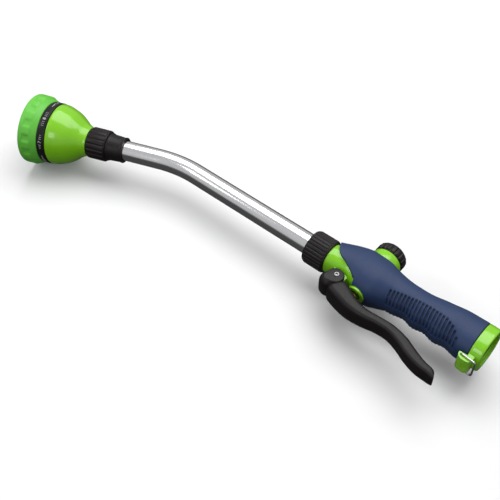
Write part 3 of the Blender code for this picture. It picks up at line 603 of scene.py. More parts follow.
def build_bezel():
    grip = 0.0010
    top = HEAD_RADIUS
    front = BEZEL_END
    base = BAND_END
    rear = base + GAP
    rows = []
    for radius, depth, height in (
        (0.0262, 0.0, base + 0.0030), (0.0262, 0.0, rear), (0.0296, 0.0, rear),
        (0.0299, 0.0, rear + 0.0002), (0.0302, 0.0, rear + 0.0006), (0.0315, 0.0, rear + 0.0043),
        (0.0320, 0.0, base + 0.0055), (0.0325, 0.2 * grip, base + 0.0062),
        (0.0330, 0.8 * grip, base + 0.0070), (0.0333, grip, base + 0.0078),
        (top - 0.0001, grip, base + 0.0088), (top, grip, base + 0.0098),
        (top, grip, front - 0.0054), (top, 0.8 * grip, front - 0.0049),
        (top, 0.2 * grip, front - 0.0044), (top, 0.0, front - 0.0040),
        (top, 0.0, front - 0.0012), (top - 0.0001, 0.0, front - 0.0007),
        (top - 0.0004, 0.0, front - 0.0003), (top - 0.0009, 0.0, front),
        (0.0304, 0.0, front), (0.0299, 0.0, front - 0.0003),
        (0.0296, 0.0, front - 0.0008), (0.0291, 0.0, front - 0.0030),
        (0.0291, 0.0, base + 0.0030),
    ):
        rows.append(bezel_row(radius, depth, height))
    ring = skin("face_ring", HEAD, rows, closed=True)
    finish_piece(ring, BEZEL, "spray_head", ["face_bezel"])


def hole_group(kind):
    """Hole centres and radii of one spray pattern, about its own middle."""
    if kind == 0:
        spots = [(0.0, 0.0, 0.00045)]
        for ring, count in ((0.0019, 6), (0.0037, 12)):
            spots += [(*polar(ring, tau * k / count), 0.00045) for k in range(count)]
        return spots
    if kind in (1, 2):
        return [(0.0, 0.0, 0.0013 if kind == 1 else 0.0006)]
    if kind == 3:
        return [(0.0, 0.0010 * (k - 4), 0.00036) for k in range(9)]
    if kind == 4:
        return [(*polar(0.0032, k * pi / 5), 0.00055) for k in range(10)]
    if kind == 5:
        ring = [(*polar(0.0027, tau * k / 5), 0.0009) for k in range(5)]
        return [(0.0, 0.0, 0.0009)] + ring
    if kind == 6:
        return [(0.0016 * side, 0.0011 * (k - 3), 0.00040) for side in (-1, 1) for k in range(7)]
    spots = []
    for row in range(-2, 3):
        for column in range(-2, 3):
            x = 0.0015 * row
            y = 0.0015 * (column + 0.5 * (row % 2))
            if hypot(x, y) < 0.0036:
                spots.append((x, y, 0.0004))
    return spots


def sector_angle(kind):
    """Where a pattern and its number stand round the head."""
    return tau * (kind + 0.5) / SPRAY_SECTORS


def build_spray_face():
    """Turning disc with a raised pad and its holes for each pattern."""
    low = BAND_END + 0.0033
    high = BEZEL_END - 0.0034
    top = high - 0.0008
    rim = 0.0285
    hole = 0.0017
    profile = [
        (hole, high), (0.0110, high), (0.0120, top), (rim, top), (rim, low), (0.0240, low),
        (0.0240, high - 0.0034), (0.0080, high - 0.0034), (0.0080, low), (hole, low),
    ]
    face = turned("spray_face", HEAD, profile, 0.0003, 128)
    steps = []
    holes = []
    for kind in range(SPRAY_SECTORS):
        turn = Matrix.Rotation(sector_angle(kind), 4, "Z")
        middle = turn @ Matrix.Translation((PATTERN_RADIUS, 0.0, 0.0))
        pad = [
            (0.0, top + 0.0007), (0.0046, top + 0.0007),
            (0.0051, top - 0.0006), (0.0, top - 0.0006),
        ]
        if kind in (1, 2):
            pad = [
                (0.0, top + 0.0016), (0.0022, top + 0.0016), (0.0030, top + 0.0004),
                (0.0046, top + 0.0004), (0.0050, top - 0.0006), (0.0, top - 0.0006),
            ]
        steps.append(("UNION", turned("pad", HEAD @ middle, pad, 0.0002, 40)))
        for x, y, radius in hole_group(kind):
            start = (x, y, high - 0.0050)
            holes.append(rod(HEAD @ middle, radius, start, (x, y, high + 0.0040), 12))
    carve(face, steps)
    cutter = holes[0]
    with bpy.context.temp_override(active_object=cutter, selected_editable_objects=holes):
        bpy.ops.object.join()
    carve(face, cuts(cutter))
    finish_piece(face, FACE, "spray_head", ["spray_face"], 30)


def build_face_screw():
    top = BEZEL_END - 0.0034
    profile = [
        (0.0, top + 0.0024), (0.0020, top + 0.0023), (0.0031, top + 0.0014), (0.0034, top + GAP),
        (0.0014, top + GAP), (0.0014, BELL_END - 0.0035), (0.0, BELL_END - 0.0035),
    ]
    screw = turned("face_screw", HEAD, profile, 0.0003, 64)
    tools = []
    for along, across in ((0.0021, 0.00035), (0.00035, 0.0021)):
        low = (-along, -across, top + 0.0012)
        tools.append(block(HEAD, low, (along, across, top + 0.0040)))
    carve(screw, cuts(*tools))
    finish_piece(screw, STEEL, "spray_head", ["face_screw"])


def build_dial_band():
    low = BELL_END + GAP
    profile = [
        (BAND_RADIUS, BAND_END), (BAND_RADIUS, low), (0.0262, low), (0.0262, BAND_END),
    ]
    band = turned("dial_band", HEAD, profile, 0.0005, 160)
    finish_piece(band, BAND, "spray_head", ["dial_band"])


def wrap(builder, angle, height):
    """Lay a flat mesh on the dial band: x runs round it and y toward the front."""
    for vert in builder.verts:
        turn = angle + vert.co.x / BAND_RADIUS
        r = BAND_RADIUS + vert.co.z
        vert.co = HEAD @ Vector((*polar(r, turn), height + vert.co.y))


def mark_prism(builder, points):
    """A thin printed patch: a flat outline given a little thickness."""
    low = [builder.verts.new((x, y, -MARK_SINK)) for x, y in points]
    high = [builder.verts.new((x, y, MARK_RISE)) for x, y in points]
    builder.faces.new(list(reversed(low)))
    builder.faces.new(high)
    for k in range(len(points)):
        after = (k + 1) % len(points)
        builder.faces.new((low[k], low[after], high[after], high[k]))


def bar(x, y, wide, tall):
    return [(x - wide, y - tall), (x + wide, y - tall), (x + wide, y + tall), (x - wide, y + tall)]


def dot(x, y, radius):
    return [(x + radius * cos(k * pi / 6), y + radius * sin(k * pi / 6)) for k in range(12)]


def sector_marks(kind):
    """Small signs beside a number on the dial, one sort for each spray pattern."""
    marks = []
    for side in (-1, 1):
        for k in range(3):
            x = side * (0.0030 + 0.0019 * k)
            if kind in (0, 5):
                marks.append(dot(x, 0.0, 0.00045 + 0.00012 * (2 - k)))
            elif kind in (1, 4):
                marks.append(bar(x, 0.0, 0.00065, 0.00022))
            elif kind in (2, 6):
                marks.append(bar(x, 0.0, 0.00020, 0.0012 - 0.0003 * k))
            else:
                marks.append(dot(x, 0.0007, 0.0003))
                marks.append(dot(x, -0.0007, 0.0003))
    return marks


def build_dial_marks():
    """Generic numbers 1 to 8 with small pattern signs, printed on the band."""
    middle = (BELL_END + BAND_END) / 2
    whole = bmesh.new()
    for kind in range(SPRAY_SECTORS):
        text = bpy.data.curves.new("digit", "FONT")
        text.body = str(kind + 1)
        text.size = 0.0044
        text.align_x = text.align_y = "CENTER"
        text.extrude = 0.00008
        text.resolution_u = 4
        item = put("digit", text)
        bpy.context.view_layer.update()
        mesh = bpy.data.meshes.new_from_object(item)
        part = bmesh.new()
        part.from_mesh(mesh)
        for outline in sector_marks(kind):
            mark_prism(part, outline)
        wrap(part, sector_angle(kind), middle)
        part.to_mesh(mesh)
        part.free()
        whole.from_mesh(mesh)
        bpy.data.objects.remove(item)
        bpy.data.meshes.remove(mesh)
    bmesh.ops.remove_doubles(whole, verts=whole.verts, dist=WELD)
    marks = mesh_object("dial_marks", whole)
    finish_piece(marks, PRINT, "spray_head")


def build_bell():
    outer = smooth_path([
        (0.0292, 0.0692), (0.0286, 0.0652), (0.0268, 0.0595), (0.0242, 0.0535),
        (0.0200, 0.0473), (0.0166, 0.0428), (0.0146, 0.0390), (0.0141, 0.0372),
    ], 8)
    profile = [(0.0280, BELL_END), (0.0287, BELL_END - 0.0002), (0.0291, BELL_END - 0.0008)]
    profile += outer + [
        (0.0141, NUT_END + GAP), (0.0118, NUT_END + GAP), (0.0118, 0.0236), (0.0088, 0.0236),
        (0.0088, 0.0440), (0.0180, 0.0512), (0.0232, 0.0580), (0.0258, 0.0680),
        (0.0258, BELL_END),
    ]
    bell = turned("bell_housing", HEAD, profile, 0.0003, 160)
    finish_piece(bell, LIME, "handle", ["head_housing"])


def build_head_nut():
    bores = (0.0122, 0.0183, 0.0400), (0.0112, 0.0150, 0.0200)
    low = FERRULE_END + GAP
    build_nut("head_nut", HEAD, 0.0150, 0.0008, 18, low, NUT_END, 0.0006, bores)


def build_ferrule():
    end = FERRULE_END
    profile = [
        (0.0118, 0.0215), (0.0118, 0.0187), (0.0108, 0.0187), (0.0108, end), (0.0131, end),
        (0.0131, end - 0.0018), (0.0126, end - 0.0026), (0.0119, 0.0024), (0.0122, 0.0016),
        (0.0122, 0.0003), (0.0118, 0.0), (0.0099, 0.0), (0.0099, 0.0150), (0.0091, 0.0150),
        (0.0091, 0.0215),
    ]
    ferrule = turned("tube_ferrule", HEAD, profile, 0.0004, 128)
    finish_piece(ferrule, BLACK, "handle", ["tube_ferrule"])


# ---- tube and collar

TUBE_BENDS = 24
TUBE_BORE = 0.0085
TUBE_IN_HEAD = 0.0145
TUBE_IN_COLLAR = 0.0090


def tube_point(angle):
    """Point of the bend's centre line, from 0 at its rear end."""
    x = -TUBE_STRAIGHT - BEND_RADIUS * sin(angle)
    y = -BEND_RADIUS * (1.0 - cos(angle))
    return ORIGIN + Vector((x, y, 0.0))


def build_tube():
    """Outside skin down the tube, over the end and back up the bore."""
    points = [tube_point(BEND_ANGLE) + HEAD_LINE * (TUBE_HEAD_LENGTH + TUBE_IN_HEAD)]
    for k in range(TUBE_BENDS + 1):
        points.append(tube_point(BEND_ANGLE * (1.0 - k / TUBE_BENDS)))
    points.append(ORIGIN + X_AXIS * TUBE_IN_COLLAR)
    rows = tube_rows(points, TUBE_RADIUS, 96)
    rows += reversed(tube_rows(points, TUBE_BORE, 96))
    tube = skin("wand_tube", Matrix.Identity(4), rows, closed=True)
    finish_piece(tube, TUBE, "handle", ["wand_tube"])


def build_collar_nut():
    bores = (0.0127, 0.0038, 0.0300), (0.0101, -0.01, 0.0100)
    build_nut("collar_nut", BODY, 0.0154, 0.0007, 28, 0.0, COLLAR_LENGTH, 0.0008, bores)


# ---- valve handle

# Distance along the handle, then top, bottom and half width of its section.
HANDLE = (
    (0.0213, 0.0150, -0.0150, 0.0150), (0.0300, 0.0190, -0.0146, 0.0158),
    (0.0390, 0.0228, -0.0148, 0.0167), (0.0480, 0.0252, -0.0172, 0.0177),
    (0.0590, 0.0256, -0.0196, 0.0188), (0.0680, 0.0236, -0.0190, 0.0187),
    (0.0760, 0.0208, -0.0156, 0.0174), (0.0860, 0.0186, -0.0124, 0.0158),
    (0.0980, 0.0174, -0.0116, 0.0150), (0.1120, 0.0180, -0.0124, 0.0151),
    (0.1260, 0.0206, -0.0132, 0.0155), (0.1400, 0.0226, -0.0138, 0.0161),
    (0.1520, 0.0230, -0.0146, 0.0165), (0.1750, 0.0225, -0.0152, 0.0169),
)
WAVE_START = 0.080
WAVE_END = 0.1565
WAVE_PITCH = 0.0204
WAVE_CREST = 0.1095
WAVE_HEIGHT = 0.0011
SECTION_POWER = 2.25

# Grooves moulded into both flanks of the grip.
GROOVE_PITCH = 0.00313
GROOVE_FIRST = 0.08242
GROOVE_COUNT = 21
GROOVE_SLANT = 0.14
GROOVE_DEPTH = 0.0014
GROOVE_FLOOR = 0.00055
GROOVE_HALF = 0.00115
# Share of the depth kept at the lower ends: less behind, where the outline shows it.
GROOVE_LOW_FRONT = 0.66
GROOVE_LOW_BACK = 0.20
GROOVE_TOP = (
    (0.0780, -0.0100), (0.0805, -0.0070), (0.0835, -0.0050), (0.0940, -0.0024),
    (0.1070, -0.0001), (0.1200, 0.0005), (0.1325, -0.0006), (0.1400, -0.0036),
    (0.1455, -0.0080), (0.1480, -0.0120),
)


def handle_station(x):
    """Top, bottom and half width at x, by a smooth curve through the stations."""
    for k in range(len(HANDLE) - 1):
        if x <= HANDLE[k + 1][0]:
            break
    near = HANDLE[k]
    far = HANDLE[k + 1]
    before = HANDLE[max(k - 1, 0)]
    after = HANDLE[min(k + 2, len(HANDLE) - 1)]
    step = far[0] - near[0]
    t = (x - near[0]) / step
    values = []
    for part in (1, 2, 3):
        rise_near = (far[part] - before[part]) / (far[0] - before[0]) * step
        rise_far = (after[part] - near[part]) / (after[0] - near[0]) * step
        a = (2 * t**3 - 3 * t**2 + 1) * near[part]
        b = (t**3 - 2 * t**2 + t) * rise_near
        c = (3 * t**2 - 2 * t**3) * far[part]
        d = (t**3 - t**2) * rise_far
        values.append(a + b + c + d)
    return values


def finger_wave(x):
    """How far the finger waves stand out below the grip."""
    if x < WAVE_START or x > WAVE_END:
        return 0.0
    fade = sin(pi * (x - WAVE_START) / (WAVE_END - WAVE_START)) ** 0.5
    return WAVE_HEIGHT * fade * cos(tau * (x - WAVE_CREST) / WAVE_PITCH)


def groove_depth(x, y, z):
    """How deep the grip's grooves are at a point of its skin."""
    phase = (x + GROOVE_SLANT * y - GROOVE_FIRST) / GROOVE_PITCH
    if phase < -0.5 or phase > GROOVE_COUNT - 0.5:
        return 0.0
    near = abs(phase - round(phase)) * GROOVE_PITCH
    middle = GROOVE_FIRST + GROOVE_PITCH * round(phase) - GROOVE_SLANT * y
    top = between(GROOVE_TOP, middle)
    across = 1.0 - ease(near, GROOVE_FLOOR, GROOVE_HALF)
    down = 1.0 - ease(y, top - 0.0012, top)
    under = ease(abs(z), 0.0012, 0.0040)
    low = GROOVE_LOW_FRONT if z > 0.0 else GROOVE_LOW_BACK
    under *= low + (1.0 - low) * ease(abs(z), 0.0085, 0.0120)
    return GROOVE_DEPTH * across * down * under


def handle_row(x, inset, count, waves=True, grooves=False):
    """Ring of points at x, a rounded oval drawn in from the outside by inset."""
    top, bottom, half = handle_station(x)
    if waves:
        bottom -= finger_wave(x)
    middle = (top + bottom) / 2.0
    points = []
    for k in range(count):
        cy, cz = oval(tau * k / count, SECTION_POWER)
        sunk = inset
        if grooves:
            y = middle + cy * (top - bottom) / 2.0
            sunk += groove_depth(x, y, cz * half)
        y = middle + cy * ((top - bottom) / 2.0 - sunk)
        points.append((x, y, cz * (half - sunk)))
    return points


def core_stations():
    return spaced(COLLAR_LENGTH + GAP, 0.078, 30) + spaced(0.080, 0.146, 20)


def lug_outline():
    """Side view of the lug that holds the trigger's pin."""
    points = [(PIVOT[0] + 0.0075, -0.0080), (PIVOT[0] - 0.0085, -0.0080)]
    for k in range(25):
        x, y = polar(LUG_RADIUS, pi + pi * k / 24.0)
        points.append((PIVOT[0] + x, PIVOT[1] + y))
    return points


def build_valve_body():
    stations = core_stations() + [CAP_START - 0.0015]
    body = skin("valve_body", WAND, [handle_row(x, SLEEVE_WALL, 72, False) for x in stations])
    boss = turned("cutter", VALVE, [
        (0.0, 0.0276), (0.0126, 0.0276), (0.0134, 0.0272), (0.0138, 0.0262), (0.0141, 0.0170),
        (0.0, 0.0170),
    ], 0.0002, 96)
    steps = [
        ("UNION", bore(BODY, 0.0120, 0.0105, 0.0260)),
        ("UNION", boss),
        ("UNION", prism(WAND, lug_outline(), LUG_HALF)),
        ("UNION", bore(VALVE, 0.0084, -0.0172, -0.0100)),
    ]
    steps += cuts(
        # The pin's hole, the outlet bore and the passage from the lower chamber into it.
        bore(TRIGGER, PIN_RADIUS + GAP, -0.02, 0.02),
        bore(BODY, 0.0060, 0.0, 0.0480),
        rod(WAND, 0.0038, (0.044, -0.0070, 0), (VALVE_X, -0.0070, 0)),
        # Lower chamber, valve seat, spindle chamber and the bonnet's counterbore.
        bore(VALVE, 0.0073, -0.030, -0.0020),
        bore(VALVE, 0.0045, -0.003, 0.002),
        bore(VALVE, 0.0088, 0.0, 0.0220),
        bore(VALVE, 0.0112, 0.0196, 0.0300),
        # Feed bore through the grip, and the hose socket's seat.
        rod(WAND, 0.0058, (VALVE_X, 0.007, 0), (0.158, 0.007, 0)),
        bore(INLET, 0.0100, 0.149, 0.165),
    )
    carve(body, steps)
    finish_piece(body, LIME, "handle", ["valve_body"])


def blue_edge():
    """Side view of what the sleeve leaves bare at the front."""
    line = smooth_path([
        (0.0216, 0.0140), (0.0236, 0.0080), (0.0262, 0.0025), (0.0310, -0.0020),
        (0.0380, -0.0052), (0.0450, -0.0088), (0.0500, -0.0122), (0.0530, -0.0160),
        (0.0536, -0.0400),
    ], 6)
    return [(0.0, 0.0140)] + line + [(0.0, -0.0400)]


def build_sleeve():
    """Grip skin with waves and grooves, hollowed round the body and cut open in front."""
    stations = spaced(COLLAR_LENGTH + GAP, 0.0790, 60)
    stations += spaced(0.0794, 0.1500, 226)
    stations += spaced(0.1510, CAP_START - 0.0012, 8)
    rows = [handle_row(x, 0.0, 132, grooves=True) for x in stations]
    for back, inset in ((0.0007, 0.0001), (0.0004, 0.0004)):
        rows.append(handle_row(CAP_START - back, inset, 132))
    sleeve = skin("grip_sleeve", WAND, rows)
    inner = core_stations() + [CAP_START + 0.004]
    core = [handle_row(x, SLEEVE_WALL - GAP, 72, False) for x in inner]
    first = [(x - 0.004, y, z) for x, y, z in core[0]]
    tools = [
        skin("cutter", WAND, [first] + core),
        prism(WAND, blue_edge(), 0.03),
        bore(VALVE, 0.0145, 0.010, 0.040, 96),
        bore(VALVE, 0.0088, -0.030, -0.008, 64),
    ]
    carve(sleeve, cuts(*tools))
    finish_piece(sleeve, NAVY, "handle", ["grip_sleeve"], 50)


def build_gland():
    profile = [
        (0.0068, -0.0110), (0.0068, -0.0175), (0.0082, -0.0175), (0.0082, -0.0197),
        (0.0046, -0.0197), (0.0046, -0.0180), (0.0028, -0.0174),
        (0.0028, -0.0135), (0.0046, -0.0135), (0.0046, -0.0110),
    ]
    gland = turned("stem_gland", VALVE, profile, 0.0007, 72)
    finish_piece(gland, LIME, "handle", ["stem_gland"])


def build_knob():
    ribs = 18
    depth = 0.0009
    low = KNOB_BASE
    full = 0.0138
    plain = full - depth
    rows = []
    seat = KNOB_TOP - 0.0018
    roof = 0.0352
    for radius, at_depth, height in (
        (plain - 0.0003, 0.0, low), (plain, 0.0, low + 0.0003), (plain, 0.0, low + 0.0007),
        (full, depth, low + 0.0013), (full, depth, low + 0.0040), (full, depth, low + 0.0066),
        (0.0136, 0.0008, low + 0.0075), (0.0132, 0.0005, low + 0.0083),
        (0.0125, 0.0002, low + 0.0091), (0.0115, 0.0, low + 0.0099), (0.0100, 0.0, low + 0.0106),
        (0.0080, 0.0, low + 0.0111), (0.0062, 0.0, low + 0.0114), (0.0050, 0.0, KNOB_TOP),
        (0.0042, 0.0, KNOB_TOP), (0.0040, 0.0, KNOB_TOP - 0.0002), (0.0040, 0.0, seat),
        (0.0018, 0.0, seat), (0.0018, 0.0, roof), (0.0043, 0.0, roof),
        (0.0043, 0.0, low + 0.0006), (0.0062, 0.0, low + 0.0006), (0.0062, 0.0, roof),
        (0.0098, 0.0, roof), (0.0114, 0.0, 0.0335), (0.0114, 0.0, low),
    ):
        rows.append(ribbed_row(radius, at_depth, ribs, height))
    knob = skin("flow_knob", VALVE, rows, closed=True)
    finish_piece(knob, BLACK, "flow_control", ["flow_knob"], 45)


def build_knob_screw():
    seat = KNOB_TOP - 0.0015
    profile = [
        (0.0, seat + 0.0012), (0.0028, seat + 0.0011), (0.0034, seat + 0.0006), (0.0034, seat),
        (0.0013, seat), (0.0013, 0.0235), (0.0, 0.0235),
    ]
    screw = turned("knob_screw", VALVE, profile, 0.0002, 64)
    low = (-0.0022, -0.0004, seat + 0.0005)
    carve(screw, cuts(block(VALVE, low, (0.0022, 0.0004, seat + 0.0030))))
    finish_piece(screw, STEEL, "flow_control", ["knob_screw"])


# ---- trigger

# Middle of each lever section, the way it runs in degrees, half thickness and width.
LEVER = (
    (0.0415, -0.0232, -33.0, 0.0072, 0.0080), (0.0440, -0.0246, -33.0, 0.0086, 0.0101),
    (0.0470, -0.0262, -33.0, 0.0094, 0.0109), (0.0560, -0.0302, -33.0, 0.0082, 0.0107),
    (0.0660, -0.0330, -18.0, 0.0068, 0.0098), (0.0770, -0.0336, -2.0, 0.0054, 0.0088),
    (0.0900, -0.0320, 4.0, 0.0046, 0.0081), (0.1020, -0.0318, -8.0, 0.0048, 0.0078),
    (0.1140, -0.0348, -24.0, 0.0054, 0.0077), (0.1250, -0.0398, -30.0, 0.0055, 0.0077),
    (0.1360, -0.0437, -20.0, 0.0049, 0.0077), (0.1450, -0.0450, -10.0, 0.0041, 0.0074),
    (0.1496, -0.0459, 20.0, 0.0036, 0.0063),
)
LEVER_TIP = (
    (0.1500, -0.0460, 23.0, 0.0034, 0.0060), (0.1502, -0.0460, 25.0, 0.0030, 0.0056),
)

LEVER_STEPS = 72
LEVER_POWER = 3.4
RELIEF_RADIUS = 0.0068
SLOT_HALF = 0.0087

# The lever's head: middles of its hub and nose, then Z and both radii at each level.
HUB = Vector((-0.0006, -0.0008))
NOSE = Vector((-0.0043, -0.0048))
HEAD_LEVELS = (
    (0.0040, 0.0076, 0.0078), (0.0060, 0.0076, 0.0076), (0.0078, 0.0076, 0.0069),
    (0.0091, 0.0076, 0.0060), (0.0100, 0.0075, 0.0052), (0.0106, 0.0073, 0.0046),
    (0.0109, 0.0070, 0.0041), (0.0110, 0.0066, 0.0036),
)


def lever_row(station):
    """Ring of points square to the lever's run, measured from the pin."""
    x, y, heading, thick, wide = station
    along = radians(heading)
    points = []
    for k in range(LEVER_STEPS):
        up, out = oval(tau * (k + 0.5) / LEVER_STEPS, LEVER_POWER)
        rise = thick * up
        points.append((
            x - rise * sin(along) - PIVOT[0], y + rise * cos(along) - PIVOT[1], wide * out,
        ))
    return points


def head_row(z, hub_radius, nose_radius):
    """Outline round the hub and the nose of the lever's head at one level."""
    reach = NOSE - HUB
    bearing = atan2(reach.y, reach.x)
    open_half = acos((hub_radius - nose_radius) / reach.length)
    points = []
    for k in range(49):
        x, y = polar(hub_radius, bearing + open_half + (tau - 2 * open_half) * k / 48)
        points.append((HUB.x + x, HUB.y + y, z))
    for k in range(31):
        x, y = polar(nose_radius, bearing - open_half + 2 * open_half * k / 30)
        points.append((NOSE.x + x, NOSE.y + y, z))
    return points


def build_lever():
    """Arm and head in one, with room for the lug and for the gland."""
    stations = smooth_path(list(LEVER), 8) + list(LEVER_TIP)
    lever = skin("trigger_lever", TRIGGER, [lever_row(station) for station in stations])
    levels = [head_row(-z, a, b) for z, a, b in reversed(HEAD_LEVELS)]
    levels += [head_row(z, a, b) for z, a, b in HEAD_LEVELS]
    carve(lever, [("UNION", skin("cutter", TRIGGER, levels))])
    relief = [polar(RELIEF_RADIUS, radians(200.0 + 150.0 * k / 24.0)) for k in range(25)]
    relief += [(0.0120, 0.0010), (0.0130, 0.0200), (-0.0110, 0.0200), (-0.0086, 0.0010)]
    carve(lever, cuts(
        prism(TRIGGER, relief, LUG_HALF + GAP),
        block(TRIGGER, (0.0055, -0.0080, -SLOT_HALF), (0.0290, 0.0200, SLOT_HALF)),
        bore(TRIGGER, PIN_RADIUS + GAP, -0.02, 0.02),
    ))
    finish_piece(lever, BLACK, "trigger", ["trigger_lever"], 40)


def build_pin():
    end = CHEEK_HALF + GAP
    face = end + 0.0006
    profile = [
        (0.0, end - 0.0010), (0.0009, end - 0.0008), (0.0012, face - 0.0001), (0.0014, face),
        (0.0019, face), (0.0023, end + 0.0002), (0.0023, end), (PIN_RADIUS, end),
    ]
    profile += [(radius, -height) for radius, height in reversed(profile)]
    pin = turned("pivot_pin", TRIGGER, profile, 0.0002, 64)
    finish_piece(pin, PIN_STEEL, "handle", ["pivot_pin"])


# ---- hose end


def build_end_cap():
    edge = ((0.0, 0.0006), (0.0002, 0.0002), (0.0006, 0.0), (0.0018, 0.0))
    stations = [(CAP_START + run, inset) for run, inset in edge]
    stations += [((CAP_START + REAR_X) / 2, 0.0)]
    back = ((0.0014, 0.0), (0.0008, 0.0001), (0.0004, 0.0003), (0.0001, 0.0006), (0.0, 0.0010))
    stations += [(REAR_X - run, inset) for run, inset in back]
    cap = skin("end_cap", WAND, [handle_row(x, inset, 144, False) for x, inset in stations])
    outline = smooth_path([
        (0.1537, -0.0166), (0.1543, -0.0190), (0.1564, -0.0209), (0.1600, -0.0216),
        (0.1637, -0.0211), (0.1654, -0.0190), (0.1657, -0.0160),
    ], 6)
    outline += [(0.1657, -0.0100), (0.1606, -0.0100), (0.1606, -0.0156), (0.1540, -0.0158)]
    carve(cap, [("UNION", prism(WAND, outline, 0.0076))] + cuts(
        bore(INLET, 0.0150, 0.150, 0.180, 128),
        bore(BAIL, 0.0011, -0.02, 0.02, 32),
    ))
    finish_piece(cap, LIME, "handle", ["end_cap"])


def build_inlet():
    """Hose socket with a real helical thread cut in its wall."""
    rear = REAR_X - 0.0006
    floor = CAP_START + 0.0022
    root = 0.0132
    depth = 0.0007
    pitch = 0.0022
    start = floor + 0.0026
    steps = 96
    rows = [circle(r, h, steps) for r, h in (
        (root, rear), (0.0145, rear), (0.0147, rear - 0.0002), (0.0147, CAP_START + GAP),
        (0.0097, CAP_START + GAP), (0.0097, 0.1505), (0.0080, 0.1505), (0.0080, floor),
        (root, floor),
    )]
    count = 64
    for k in range(count):
        height = floor + 0.0004 + (rear - floor - 0.0006) * k / (count - 1)
        row = []
        fade = ease(height, start, start + pitch)
        fade *= 1.0 - ease(height, rear - 0.0012, rear - 0.0003)
        for step in range(steps):
            turn = step / steps
            phase = ((height - start) / pitch - turn) % 1.0
            ridge = ease(1.0 - abs(2.0 * phase - 1.0), 0.30, 0.85)
            row.append((*polar(root - depth * ridge * fade, tau * turn), height))
        rows.append(row)
    insert = skin("inlet_insert", INLET, rows, closed=True)
    finish_piece(insert, LIME, "handle", ["inlet_insert"], 60)
    low = CAP_START + 0.0025
    ring = [(0.0122, low + 0.0024), (0.0122, low), (0.0085, low), (0.0085, low + 0.0024)]
    washer = turned("inlet_washer", INLET, ring, 0.0005, 72)
    finish_piece(washer, RUBBER, "handle", ["inlet_washer"])


def build_bail():
    """Bent wire with two legs, each with its foot turned into the boss."""
    leg = 0.0088
    reach = Vector((0.0127, -0.0013, 0.0))
    corner = 0.0018
    ahead = reach.normalized()
    side = Vector((0.0, 0.0, leg))
    points = [Vector((0, 0, 0.0050)), side - Z_AXIS * corner]
    arc = [(1 - sin(turn), 1 - cos(turn)) for turn in (pi / 2 * k / 8 for k in range(1, 9))]
    points += [side - Z_AXIS * corner * a + ahead * corner * b for a, b in arc]
    points.append(side + reach - ahead * corner)
    points += [side + reach - ahead * corner * a - Z_AXIS * corner * b for a, b in arc]
    points += [Vector((p.x, p.y, -p.z)) for p in reversed(points)]
    bail = skin("lock_bail", BAIL, tube_rows(points, 0.0008, 20))
    finish_piece(bail, STEEL, "bail", ["lock_bail"])


def dress_cad_nodes():
    """Give the CAD nodes that stay their procedural materials."""
    looks = {
        "selector_plate": BLACK, "selector_seal": RUBBER, "ferrule_o_ring": RUBBER,
        "tube_flange": BLACK, "collar_o_ring": RUBBER, "stem_o_ring": RUBBER,
        "valve_stem": BRASS, "valve_seal": RUBBER, "valve_spring": STEEL,
        "valve_bonnet": LIME, "flow_spindle": BRASS, "spindle_o_ring": RUBBER,
        "filter_screen": STEEL,
    }
    for name, material in looks.items():
        mesh = frame["nodes"][name].data
        mesh.materials.clear()
        mesh.materials.append(material)


# ---- stage and camera


def build_floor():
    """A plain pale floor.  The object's gloss and its underside see the dark room past it."""
    look = Look("floor", (0.86, 0.86, 0.865), 0.55)
    look.clouds(6.0, 3.0, 0.10, (0.82, 0.82, 0.83))
    look.rough(look.noise(30.0, 3.0), 0.5, 0.65)
    size = 60.0
    builder = bmesh.new()
    corners = [(-size, -size), (size, -size), (size, size), (-size, size)]
    builder.faces.new([builder.verts.new((x, y, 0.0)) for x, y in corners])
    mesh = bpy.data.meshes.new("floor")
    builder.to_mesh(mesh)
    builder.free()
    mesh.materials.append(look.material)
    floor = put("floor", mesh)
    floor.location = (0.0, 0.0, -0.0004)
    floor.visible_glossy = False
    floor.visible_diffuse = False


# Brightness of the world above and below the horizon, and half the blend between.
ROOM_ABOVE = 0.50
ROOM_BELOW = 0.06
ROOM_BLEND = 0.10


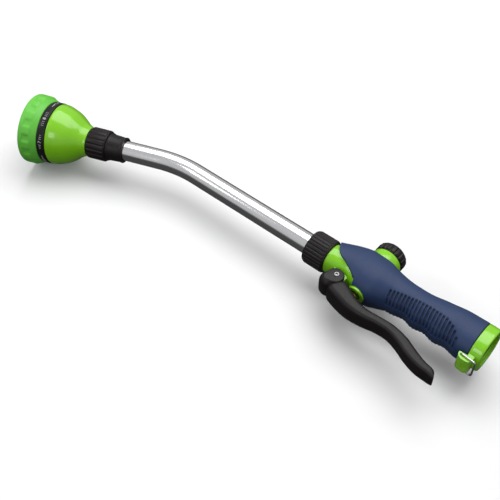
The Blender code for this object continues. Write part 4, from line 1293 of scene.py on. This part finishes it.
def add_light(name, at, target, size, power):
    """Rectangular soft box at a point, facing a target."""
    light = bpy.data.lights.new(name, "AREA")
    light.shape = "RECTANGLE"
    light.size, light.size_y = size
    light.energy = power
    item = put(name, light)
    item.location = at
    item.rotation_euler = (Vector(at) - Vector(target)).to_track_quat("Z", "Y").to_euler()


def build_lights():
    """A pale sky over a dark room, a wide box overhead and two small ones in front."""
    world = bpy.data.worlds.new("studio")
    bpy.context.scene.world = world
    world.use_nodes = True
    tree = world.node_tree
    back = tree.nodes["Background"]
    back.inputs["Strength"].default_value = 1.0
    place = tree.nodes.new("ShaderNodeTexCoord")
    split = tree.nodes.new("ShaderNodeSeparateXYZ")
    tree.links.new(place.outputs["Generated"], split.inputs["Vector"])
    level = map_range(tree, split.outputs["Z"], ROOM_BELOW, ROOM_ABOVE, -ROOM_BLEND, ROOM_BLEND)
    tree.links.new(level, back.inputs["Color"])
    add_light("overhead", (-0.1, 0.45, 1.1), (0.0, 0.0, 0.0), (1.4, 1.0), 13.0)
    add_light("front_box", (-0.75, -0.55, 0.75), (-0.15, 0.0, 0.03), (0.35, 0.35), 1.2)
    add_light("camera_side_box", (0.10, -0.80, 0.62), (-0.15, 0.0, 0.03), (0.34, 0.34), 1.2)


def build_camera():
    """The photo's camera, as fitted to its outlines."""
    azimuth = radians(40.3)
    height = radians(49.8)
    distance = 0.700
    target = ORIGIN + Vector((-0.0373, -0.0378, 0.0))
    back = Vector((sin(azimuth) * cos(height), -cos(azimuth) * cos(height), sin(height)))
    camera = bpy.data.cameras.new("camera")
    camera.sensor_width = 36.0
    camera.lens = 59.04
    item = put("camera", camera)
    item.location = target + back * distance
    item.rotation_euler = back.to_track_quat("Z", "Y").to_euler()
    bpy.context.scene.camera = item
    bpy.context.scene.view_settings.view_transform = "Standard"


def write_sizes():
    def plain(box):
        return [[float(part) for part in corner] for corner in box]


build_camera()
build_bezel()
build_spray_face()
build_face_screw()
build_dial_band()
build_dial_marks()
build_bell()
build_head_nut()
build_ferrule()
build_tube()
build_collar_nut()
build_valve_body()
build_sleeve()
build_gland()
build_knob()
build_knob_screw()
build_lever()
build_pin()
build_end_cap()
build_inlet()
build_bail()
dress_cad_nodes()
build_floor()
build_lights()
write_sizes()
